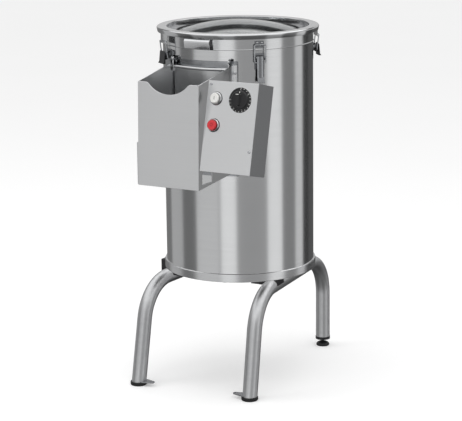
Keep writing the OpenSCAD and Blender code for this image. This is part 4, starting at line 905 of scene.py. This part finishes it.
@dataclass(frozen=True)
class Latches:
    """The two steel toggles and the two side clamps."""

    toggle: Bail = Bail(14.6, 7.7, 209.0, 208.5, 946.0)
    clamp: Bail = Bail(19.4, 5.2, 211.0, 216.6, 944.0)
    wire_r: float = 1.6
    pin_z: float = 900.0
    corner: float = 3.2
    sheet: float = 1.5
    lever_half: float = 9.2
    lever_in: float = 206.0
    lever_out: float = 214.6
    lever_low: float = 862.0
    lever_top: float = 917.0
    lip_out: float = 213.6
    lip_long: float = 14.0
    lip_lean: float = 20.0

    def bail(self, shop: Workshop, node: str, station: Station, size: Bail) -> None:
        """Bends one wire bail at its station."""
        path = [(-size.pin_in, -size.low_r, self.pin_z), (-size.half, -size.low_r, self.pin_z),
                (-size.half, -size.top_r, size.top)]
        path += [(-x, y, z) for x, y, z in reversed(path)]
        corners = [tuple(around(station.value, *corner)) for corner in path]
        piece = shop.bar(f"{node}_bent", corners, self.wire_r, self.corner, ZINC, 16, 6)
        issue(shaded(piece), BODY_OF[node], ZINC, node)

    def steel_lever(self, node: str, station: Station) -> None:
        """Presses one toggle lever: a channel with a convex back and a lip to pull."""
        place = Matrix.Rotation(math.radians(station.value), 4, "Z")
        half, inner, foot, sheet = self.lever_half, self.lever_half - self.sheet, -self.lever_in, self.sheet
        bow = half / math.sin(math.radians(30))

        def back(radius: float, turns: Iterable[int]) -> list[tuple[float, float]]:
            return [(radius * math.sin(math.radians(a)), bow - self.lever_out - radius * math.cos(math.radians(a)))
                    for a in turns]
        section = (back(bow, range(-30, 31, 6)) + [(half, foot), (inner, foot)]
                   + back(bow - sheet, range(24, -25, -6)) + [(-inner, foot), (-half, foot)])
        blank = Blank().slab(section, self.lever_low, self.lever_top, place)
        lip = (place @ Matrix.Translation((0, -self.lip_out, self.lever_low))
               @ Matrix.Rotation(math.radians(-self.lip_lean), 4, "X"))
        blank.slab([(-half, 0), (half, 0), (half, sheet), (-half, sheet)], -self.lip_long, 1, lip)
        issue(softened(blank.piece(f"{node}_pressed"), 0.4), BODY_OF[node], LATCH_STEEL, node)

    def build(self, shop: Workshop) -> None:
        """Makes the bails and steel levers, and reworks the bases and black levers."""
        self.bail(shop, "front_latch_bail", Station.FRONT, self.toggle)
        self.bail(shop, "rear_latch_bail", Station.REAR, self.toggle)
        self.bail(shop, "left_clamp_bail", Station.LEFT, self.clamp)
        self.bail(shop, "right_clamp_bail", Station.RIGHT, self.clamp)
        self.steel_lever("front_latch_lever", Station.FRONT)
        self.steel_lever("rear_latch_lever", Station.REAR)
        rework_all(LATCH_STEEL, {"latch_bases": 0.35})
        rework_all(BLACK_ABS, {"left_clamp_lever": 0.8, "right_clamp_lever": 0.8})


@dataclass(frozen=True)
class Controls:
    """The leaning control box with its timer and two push buttons."""

    origin: Place = (95.0, -372.0, 654.0)
    lean: float = 13.5
    timer: tuple[float, float] = (94.0, 184.0)
    dial_r: float = 31.5
    plate: float = 1.5
    turn: float = 270.0
    last: int = 15
    mark_r: float = 29.1
    mark: Place = (1.4, 2.6, 0.3)
    number_r: float = 25.7
    number_h: float = 4.0
    ink: float = 0.08
    button_x: float = 26.0
    start_up: float = 184.0
    stop_up: float = 117.0
    neck_r: float = 10.9
    cap_r: float = 12.4
    proud: float = 11.6
    bezel_r: float = 16.6
    bezel_bore: float = 11.3
    bezel_h: float = 6.0
    # the dark ring under each bezel: a real rubber seal, and also painted shade for the crescent of shadow round the
    # bezel
    seal_in: float = 14.3
    seal_out: float = 17.4
    knob_r: float = 23.5
    knob_top: float = 18.75
    bar_half: float = 15.0
    bar_side: float = 5.0
    bar_corner: float = 2.5
    box_back: float = 86.4
    arm_sides: tuple[float, float] = (118.0, 150.0)
    arm_levels: tuple[float, float] = (699.0, 789.0)
    arm_wall: float = 2.5
    weld_r: float = 200.1
    screws: tuple[tuple[float, float], ...] = ((8.0, 219.0), (134.0, 58.0))
    screw_r: float = 3.6

    def panel(self, x: float = 0.0, up: float = 0.0) -> Matrix:
        """The place on the panel's face at x and up, with Z standing out of the panel and Y up along it."""
        return (Matrix.Translation(self.origin) @ Matrix.Rotation(math.radians(-self.lean), 4, "X")
                @ Matrix.Translation((x, 0, up)) @ Matrix.Rotation(math.radians(90), 4, "X"))

    def bezel(self, up: float, blank: Blank) -> None:
        """Turns one chromed ring with a rolled edge and a bore that lets the cap in."""
        rim = self.bezel_r
        blank.turn([(self.bezel_bore, -5), (14.2, -5), (14.2, 1), (rim, 1), (rim, 3.2), (rim - 0.5, 4.6),
                    (rim - 1.3, 5.6), (14.7, self.bezel_h), (13.5, 5.7), (12.7, 4.8), (12.7, 1.5),
                    (self.bezel_bore, 1.5)], 64, self.panel(self.button_x, up))

    def cap(self, name: str, up: float, body: str, finish: Finish, node: str) -> None:
        """Turns one push button: a neck through the panel under a wider cap with a dished top.

        Args:
            name: the finished object's name.
            up: the button's height along the panel in millimetres.
            body: the body that it moves with.
            finish: its material.
            node: the solid that it stands for.
        """
        edge, top = self.cap_r, self.proud
        cap = Blank().turn([(0, -8), (self.neck_r, -8), (self.neck_r, 6.2), (edge - 0.3, 6.2), (edge, 6.6),
                            (edge, top - 1.4), (edge - 0.5, top - 0.2), (edge - 1.4, top + 0.4),
                            (edge - 3, top + 0.4), (edge - 4, top), (0, top)], 64, self.panel(self.button_x, up))
        issue(shaded(cap.piece(name)), body, finish, node)

    def knob(self) -> bpy.types.Object:
        """The timer's knob: a round skirt under a raised grip bar."""
        face = self.panel(*self.timer)
        edge = self.knob_r
        blank = Blank().turn([(0, 1.75), (edge - 0.4, 1.75), (edge, 2.2), (edge, 4.6), (edge - 0.8, 5.8),
                              (edge - 2.4, 6.6), (0, 6.6)], 96, face)
        low = (self.bar_side - self.bar_corner, self.bar_half - self.bar_corner)
        corner = arc(low, self.bar_corner, self.bar_corner, range(90, -1, -15))
        right = corner + [(x, -y) for x, y in reversed(corner)]
        bar = right + [(-x, y) for x, y in reversed(right)]
        return softened(blank.slab(bar, 6.0, self.knob_top, face).piece("timer_knob_moulded"), 0.8)

    def lettering(self, name: str, words: Sequence[tuple[str, float, float, float]],
                  base: Matrix) -> bpy.types.Object:
        """Prints short words on a face.

        Args:
            name: the finished object's name.
            words: each word with its x, y and height in millimetres.
            base: the face's place, with Z standing out of it.

        Returns:
            All the words as one mesh.
        """
        work = bmesh.new()
        for word, x, y, high in words:
            curve = bpy.data.curves.new(name, "FONT")
            curve.body, curve.size, curve.extrude = word, high, self.ink
            curve.align_x = curve.align_y = "CENTER"
            letter = linked(f"{name}_letter", curve)
            bpy.context.view_layer.update()
            graph = bpy.context.evaluated_depsgraph_get()
            mesh = bpy.data.meshes.new_from_object(letter.evaluated_get(graph), depsgraph=graph)
            mesh.transform(metres(base @ Matrix.Translation((x, y, 0.05))))
            work.from_mesh(mesh)
            bpy.data.objects.remove(letter)
            bpy.data.meshes.remove(mesh)
        mesh = bpy.data.meshes.new(name)
        work.to_mesh(mesh)
        work.free()
        return linked(name, mesh)

    def dial(self, shop: Workshop) -> None:
        """Makes the timer's plate, printed marks and numbers, the knob's pointer and a painted highlight on its bar.
        """
        face = self.panel(*self.timer)
        plate = Blank().turn([(6, 0), (self.dial_r - 0.2, 0), (self.dial_r, 0.4), (self.dial_r - 0.3, 1.2),
                              (self.dial_r - 0.9, self.plate), (6, self.plate)], 96, face)
        issue(shaded(plate.piece("timer_plate_turned")), "root", DIAL_BLACK, "timer_plate")
        printed = face @ Matrix.Translation((0, 0, self.plate))
        marks = shop.marks.run(linked("dial_marks", bpy.data.meshes.new("dial_marks")), WHITE_CAP, {
            "Count": self.last + 1, "Radius": self.mark_r * MM, "Start": math.radians(90),
            "Sweep": math.radians(-self.turn), "Bar": tuple(size * MM for size in self.mark)})
        marks.data.transform(metres(printed) @ Matrix.Scale(1 / MM, 4))
        issue(marks, "root", WHITE_CAP)
        words = []
        for number in range(0, self.last + 1, 3):
            way = math.radians(self.turn / self.last * number)
            words.append((str(number), self.number_r * math.sin(way), self.number_r * math.cos(way), self.number_h))
        issue(self.lettering("dial_numbers", words, printed), "root", WHITE_CAP)
        issue(self.knob(), "timer", DIAL_BLACK, "timer_knob")
        line = Blank().slab([(-1, 17.5), (1, 17.5), (1, 21), (-1, 21)], 6.5, 6.75, face)
        # a white strip on the grip bar's top end: a painted highlight of the bar's rounded top edge, not print
        line.slab([(-4, 12.6), (4, 12.6), (4, 13.9), (-4, 13.9)], self.knob_top - 0.1, self.knob_top + 0.15, face)
        issue(line.piece("knob_pointer"), "timer", WHITE_CAP)

    def bracket(self) -> bpy.types.Object:
        """The square tube that carries the box from the drum, hidden behind the box."""
        (left, right), (low, high), wall = self.arm_sides, self.arm_levels, self.arm_wall
        slope = math.tan(math.radians(self.lean))
        back = [self.box_back + self.origin[1] + (z - self.origin[2]) * slope for z in (low, high)]
        blank = Blank()
        for x in (left, right - wall):
            root = math.sqrt(self.weld_r ** 2 - x * x)
            blank.slab([(-back[0], low), (-back[1], high), (root, high), (root, low)], x, x + wall, SIDEWAYS)
        roots = [-math.sqrt(self.weld_r ** 2 - x * x) for x in (right, left)]
        for front, z in ((back[0], low), (back[1], high - wall)):
            blank.slab([(left, front), (right, front), (right, roots[0]), (left, roots[1])], z, z + wall)
        return softened(blank.piece("control_bracket_folded"), 0.4)

    def build(self, shop: Workshop) -> None:
        """Makes the dial, bezels, legends and screws, and reworks the rest."""
        self.dial(shop)
        rings, seal_and_shade_rings = Blank(), Blank()
        for up in (self.start_up, self.stop_up):
            self.bezel(up, rings)
            # each dark ring is a real rubber seal and also painted shade for the dark crescent at the bezel's lower
            # right
            seal_and_shade_rings.turn([(self.seal_in, 0), (self.seal_out, 0), (self.seal_out, 0.8), (self.seal_in, 0.98)], 64,
                       self.panel(self.button_x, up))
        issue(shaded(rings.piece("button_bezels_turned")), "root", BRIGHT_STEEL, "button_bezels")
        issue(shaded(seal_and_shade_rings.piece("bezel_seals_moulded")), "root", RUBBER)
        self.cap("start_cap_moulded", self.start_up, "start", WHITE_CAP, "start_button")
        self.cap("stop_cap_moulded", self.stop_up, "stop", RED_CAP, "stop_button")
        for body, up, word, high, print_in in (("start", self.start_up, "I", 12.0, DIAL_BLACK),
                                               ("stop", self.stop_up, "O", 11.0, RED_PRINT)):
            top = self.panel(self.button_x, up) @ Matrix.Translation((0, 0, self.proud))
            issue(self.lettering(f"{body}_legend", [(word, 0, 0, high)], top), body, print_in)
        seats = []
        for x, up in self.screws:
            spot = self.panel(x, up)
            seats.append((spot.translation, spot.to_3x3() @ Vector((0, 0, 1))))
        heads = shop.heads("panel_screw_heads", socket_head(self.screw_r, 2.0), seats, 0.25, ZINC)
        issue(heads, "root", ZINC, "panel_screws")
        rework_all(PANEL_STEEL, {"control_panel": 0.5})
        rework_all(BOX_STEEL, {"control_box": 0.5})
        issue(self.bracket(), "root", SHEET_STEEL, "control_bracket")
        rework_all(BLACK_ABS, {"timer_body": 0.5})
        rework_all(CONTACT_GREY, {"contact_blocks": 0.5})


@dataclass(frozen=True)
class Drive:
    """What turns inside: disc, shaft, pulleys, belt and motor."""

    edge: float = 0.6

    def build(self) -> None:
        """Reworks the drive's solids."""
        rework_all(ABRASIVE, {"abrasive_disc": 1.0})
        rework_all(SHEET_STEEL, {"disc_cap": self.edge})
        rework_all(ZINC, {"drive_shaft": 0.5, "shaft_bearings": 0.4, "motor_shaft": 0.5})
        rework_all(CAST_IRON, {"bearing_housing": 1.0, "large_pulley": self.edge, "motor_pulley": self.edge})
        rework_all(RUBBER, {"drive_belt": 0.5})
        rework_all(MOTOR_PAINT, {"motor_body": 0.8})


# ---------- the studio ----------


@dataclass(frozen=True)
class Lamp:
    """One large soft lamp; its place and width are in millimetres, its power in watts."""

    name: str
    place: Place
    size: float
    watts: float

    def hang(self, aim: Place) -> None:
        """Hangs the lamp and aims it at a place in millimetres."""
        data = bpy.data.lights.new(self.name, "AREA")
        data.shape = "SQUARE"
        data.size = self.size * MM
        data.energy = self.watts
        lamp = linked(self.name, data)
        lamp.location = at(*self.place)
        lamp.rotation_euler = (at(*aim) - at(*self.place)).to_track_quat("-Z", "Y").to_euler()
        lamp.visible_glossy = False


@dataclass(frozen=True)
class Studio:
    """A pale sweep, soft light, and the pale and dark walls that the steel reflects."""

    lens: float = 139.4
    eye: Place = (2323.6, -4140.6, 1552.0)
    yaw: float = -0.29
    pitch: float = 12.87
    roll: float = -0.69
    right_azimuth: float = 29.3
    level: float = 0.78
    overhead: float = 1.15
    sky: float = 1.7
    shade: float = 0.28
    back: float = 0.6
    unmirrored: tuple[str, ...] = (
        "control_", "timer_", "base_", "drum_wall", "chamber_floor", "motor_", "large_pulley", "drive_", "bearing_",
        "shaft_", "contact_", "saddle_", "frame_bolts", "lid_band")
    steel: float = 0.72
    soft: float = 1.0
    floor_half: float = 14.0
    floor_tones: tuple[float, float] = (0.79, 0.81)
    floor_lift: float = 0.26
    aim: Place = (0.0, 0.0, 500.0)
    lamps: tuple[Lamp, ...] = (Lamp("top_lamp", (300.0, -600.0, 3200.0), 2400.0, 34.0),
                               Lamp("left_lamp", (-2600.0, -2200.0, 2200.0), 1800.0, 26.0))
    # where each wall starts, in degrees from -Y towards +X, and the tone that it gives the steel
    walls: tuple[tuple[float, float], ...] = (
        (-180.0, 0.30), (-150.7, 0.42), (-104.7, 0.62), (-70.7, 0.40), (-42.0, 0.71), (-4.3, 0.61), (0.0, 0.84),
        (24.3, 0.56), (72.9, 0.83), (98.7, 0.47), (125.7, 0.73), (145.0, 0.22), (165.0, 0.30))

    def camera(self) -> None:
        """Sets the camera at the photograph's place and angle."""
        turn = math.radians(self.right_azimuth)
        across = Vector((math.cos(turn), math.sin(turn), 0))
        away = Vector((-math.sin(turn), math.cos(turn), 0))
        yaw, pitch, roll = math.radians(self.yaw), math.radians(self.pitch), math.radians(self.roll)
        look = (across * math.sin(yaw) + away * math.cos(yaw)) * math.cos(pitch) - Vector((0, 0, math.sin(pitch)))
        side = look.cross(Vector((0, 0, 1))).normalized()
        up = side.cross(look)
        right, top = side * math.cos(roll) + up * math.sin(roll), up * math.cos(roll) - side * math.sin(roll)
        data = bpy.data.cameras.new("camera")
        data.lens = self.lens
        data.sensor_width = 36.0
        data.clip_end = 60.0
        camera = linked("camera", data)
        stand = Matrix((right, top, -look)).transposed().to_4x4()
        camera.matrix_world = Matrix.Translation(at(*self.eye)) @ stand
        bpy.context.scene.camera = camera

    def walls_round(self, tree: bpy.types.NodeTree, parts: Any) -> bpy.types.NodeSocket:
        """Paints the upright walls on a ramp by azimuth; parts are the view direction's X, Y and Z."""
        ahead = add(tree, "ShaderNodeMath", {0: parts["Y"], 1: -1.0}, operation="MULTIPLY").outputs[0]
        azimuth = add(tree, "ShaderNodeMath", {0: parts["X"], 1: ahead}, operation="ARCTAN2").outputs[0]
        share = add(tree, "ShaderNodeMapRange", {
            "Value": azimuth, "From Min": -math.pi, "From Max": math.pi}).outputs[0]
        ramp = add(tree, "ShaderNodeValToRGB", {"Fac": share})
        marks: list[tuple[float, float]] = [(-180.0, self.walls[0][1])]
        for (_, before), (start, after) in zip(self.walls, self.walls[1:]):
            marks += [(start - self.soft, before), (start + self.soft, after)]
        marks.append((180.0, self.walls[-1][1]))
        stops = ramp.color_ramp.elements
        while len(stops) > 1:
            stops.remove(stops[-1])
        for i, (degrees, tone) in enumerate(marks):
            spot, value = (degrees + 180) / 360, grey(tone) / self.steel
            stop = stops[0] if i == 0 else stops.new(spot)
            stop.position = spot
            stop.color = (value, value, value, 1.0)
        return ramp.outputs["Color"]

    def mirrored(self, tree: bpy.types.NodeTree, parts: Any) -> bpy.types.NodeSocket:
        """Builds what the steel and the window mirror: the walls, the shade below and the sky above."""
        walls, height = self.walls_round(tree, parts), parts["Z"]
        # the walls are in shade from 21 to 27 degrees below the horizon, and turn to white from 29 to 33 above it
        under = add(tree, "ShaderNodeMapRange", {
            "Value": height, "From Min": -0.46, "From Max": -0.36, "To Min": self.shade, "To Max": 1.0}).outputs[0]
        dimmed = add(tree, "ShaderNodeVectorMath", {0: walls, "Scale": under}, operation="SCALE").outputs[0]
        # behind the machine stands a light wall up to 20 degrees, with a dark one above it, for the window to mirror
        behind = add(tree, "ShaderNodeMapRange", {
            "Value": parts["Y"], "From Min": 0.55, "From Max": 0.75}).outputs[0]
        raised = add(tree, "ShaderNodeMapRange", {"Value": height, "From Min": -0.04, "From Max": 0.02}).outputs[0]
        rear = add(tree, "ShaderNodeMath", {0: behind, 1: raised}, operation="MULTIPLY").outputs[0]
        storey = add(tree, "ShaderNodeMapRange", {
            "Value": height, "From Min": 0.33, "From Max": 0.37, "To Min": self.back, "To Max": 0.04}).outputs[0]
        backed = add(tree, "ShaderNodeMix", {0: rear, 6: dimmed, 7: storey}, data_type="RGBA").outputs[2]
        high = add(tree, "ShaderNodeMapRange", {"Value": height, "From Min": 0.49, "From Max": 0.55}).outputs[0]
        sky = add(tree, "ShaderNodeMapRange", {
            "Value": behind, "To Min": self.overhead, "To Max": self.sky}).outputs[0]
        return add(tree, "ShaderNodeMix", {0: high, 6: backed, 7: sky}, data_type="RGBA").outputs[2]

    def surroundings(self) -> None:
        """Builds the world: a white view, an even fill, and upright walls for reflections."""
        world = bpy.data.worlds.new("studio")
        world.use_nodes = True
        bpy.context.scene.world = world
        tree = world.node_tree
        tree.nodes.clear()
        way = add(tree, "ShaderNodeTexCoord").outputs["Generated"]
        walls = self.mirrored(tree, add(tree, "ShaderNodeSeparateXYZ", {0: way}).outputs)
        kind = add(tree, "ShaderNodeLightPath").outputs
        # steel mirrors the walls, and so do both faces of the window's pane
        mirror = add(tree, "ShaderNodeMath", {
            0: kind["Is Glossy Ray"], 1: kind["Is Transmission Ray"]}, operation="MAXIMUM").outputs[0]
        shiny = add(tree, "ShaderNodeMix", {
            0: mirror, 6: (self.level,) * 3 + (1.0,), 7: walls}, data_type="RGBA").outputs[2]
        final = add(tree, "ShaderNodeMix", {
            0: kind["Is Camera Ray"], 6: shiny, 7: (1.0, 1.0, 1.0, 1.0)}, data_type="RGBA").outputs[2]
        glow = add(tree, "ShaderNodeBackground", {"Color": final, "Strength": 1.0})
        add(tree, "ShaderNodeOutputWorld", {"Surface": glow.outputs[0]})

    def floor(self) -> None:
        """Lays a pale floor that keeps the machine's soft shadow."""
        mesh, half = bpy.data.meshes.new("floor"), self.floor_half
        mesh.from_pydata([(-half, -half, 0), (half, -half, 0), (half, half, 0), (-half, half, 0)], [], [(0, 1, 2, 3)])
        floor = linked("floor", mesh)
        material = bpy.data.materials.new("pale floor")
        material.use_nodes = True
        tree = material.node_tree
        tree.nodes.clear()
        spot = add(tree, "ShaderNodeTexCoord").outputs["Object"]
        cloud = add(tree, "ShaderNodeTexNoise", {"Vector": spot, "Scale": 1.5}).outputs["Fac"]
        darker, paler = self.floor_tones
        tone = add(tree, "ShaderNodeMapRange", {"Value": cloud, "To Min": darker, "To Max": paler}).outputs[0]
        matt = add(tree, "ShaderNodeBsdfDiffuse", {"Color": tone})
        seen = add(tree, "ShaderNodeLightPath").outputs["Is Camera Ray"]
        lift = add(tree, "ShaderNodeMath", {0: seen, 1: self.floor_lift}, operation="MULTIPLY").outputs[0]
        glow = add(tree, "ShaderNodeEmission", {"Color": (1, 1, 1, 1), "Strength": lift})
        both = add(tree, "ShaderNodeAddShader", {0: matt.outputs[0], 1: glow.outputs[0]})
        add(tree, "ShaderNodeOutputMaterial", {"Surface": both.outputs[0]})
        floor.data.materials.append(material)
        floor.visible_glossy = False

    def quieten(self) -> None:
        """Keeps pieces out of the mirror images that they would only blur or darken."""
        for piece in bpy.data.objects:
            if piece.name.startswith(self.unmirrored):
                piece.visible_glossy = False

    def build(self) -> None:
        """Sets up camera, world, floor and lamps."""
        self.camera()
        self.surroundings()
        self.floor()
        for lamp in self.lamps:
            lamp.hang(self.aim)
        bpy.context.scene.view_settings.view_transform = "Standard"


def main() -> None:
    """Builds the studio and the machine, and keeps some pieces out of the steel's mirror images."""
    logging.basicConfig(level=logging.INFO, format="%(message)s")
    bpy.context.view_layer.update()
    studio = Studio()
    studio.build()
    shop = Workshop()
    Stand().build(shop)
    Drum().build(shop)
    Outfeed().build(shop)
    Lid().build(shop)
    Latches().build(shop)
    Controls().build(shop)
    Drive().build()
    studio.quieten()


if __name__ == "__main__":
    main()
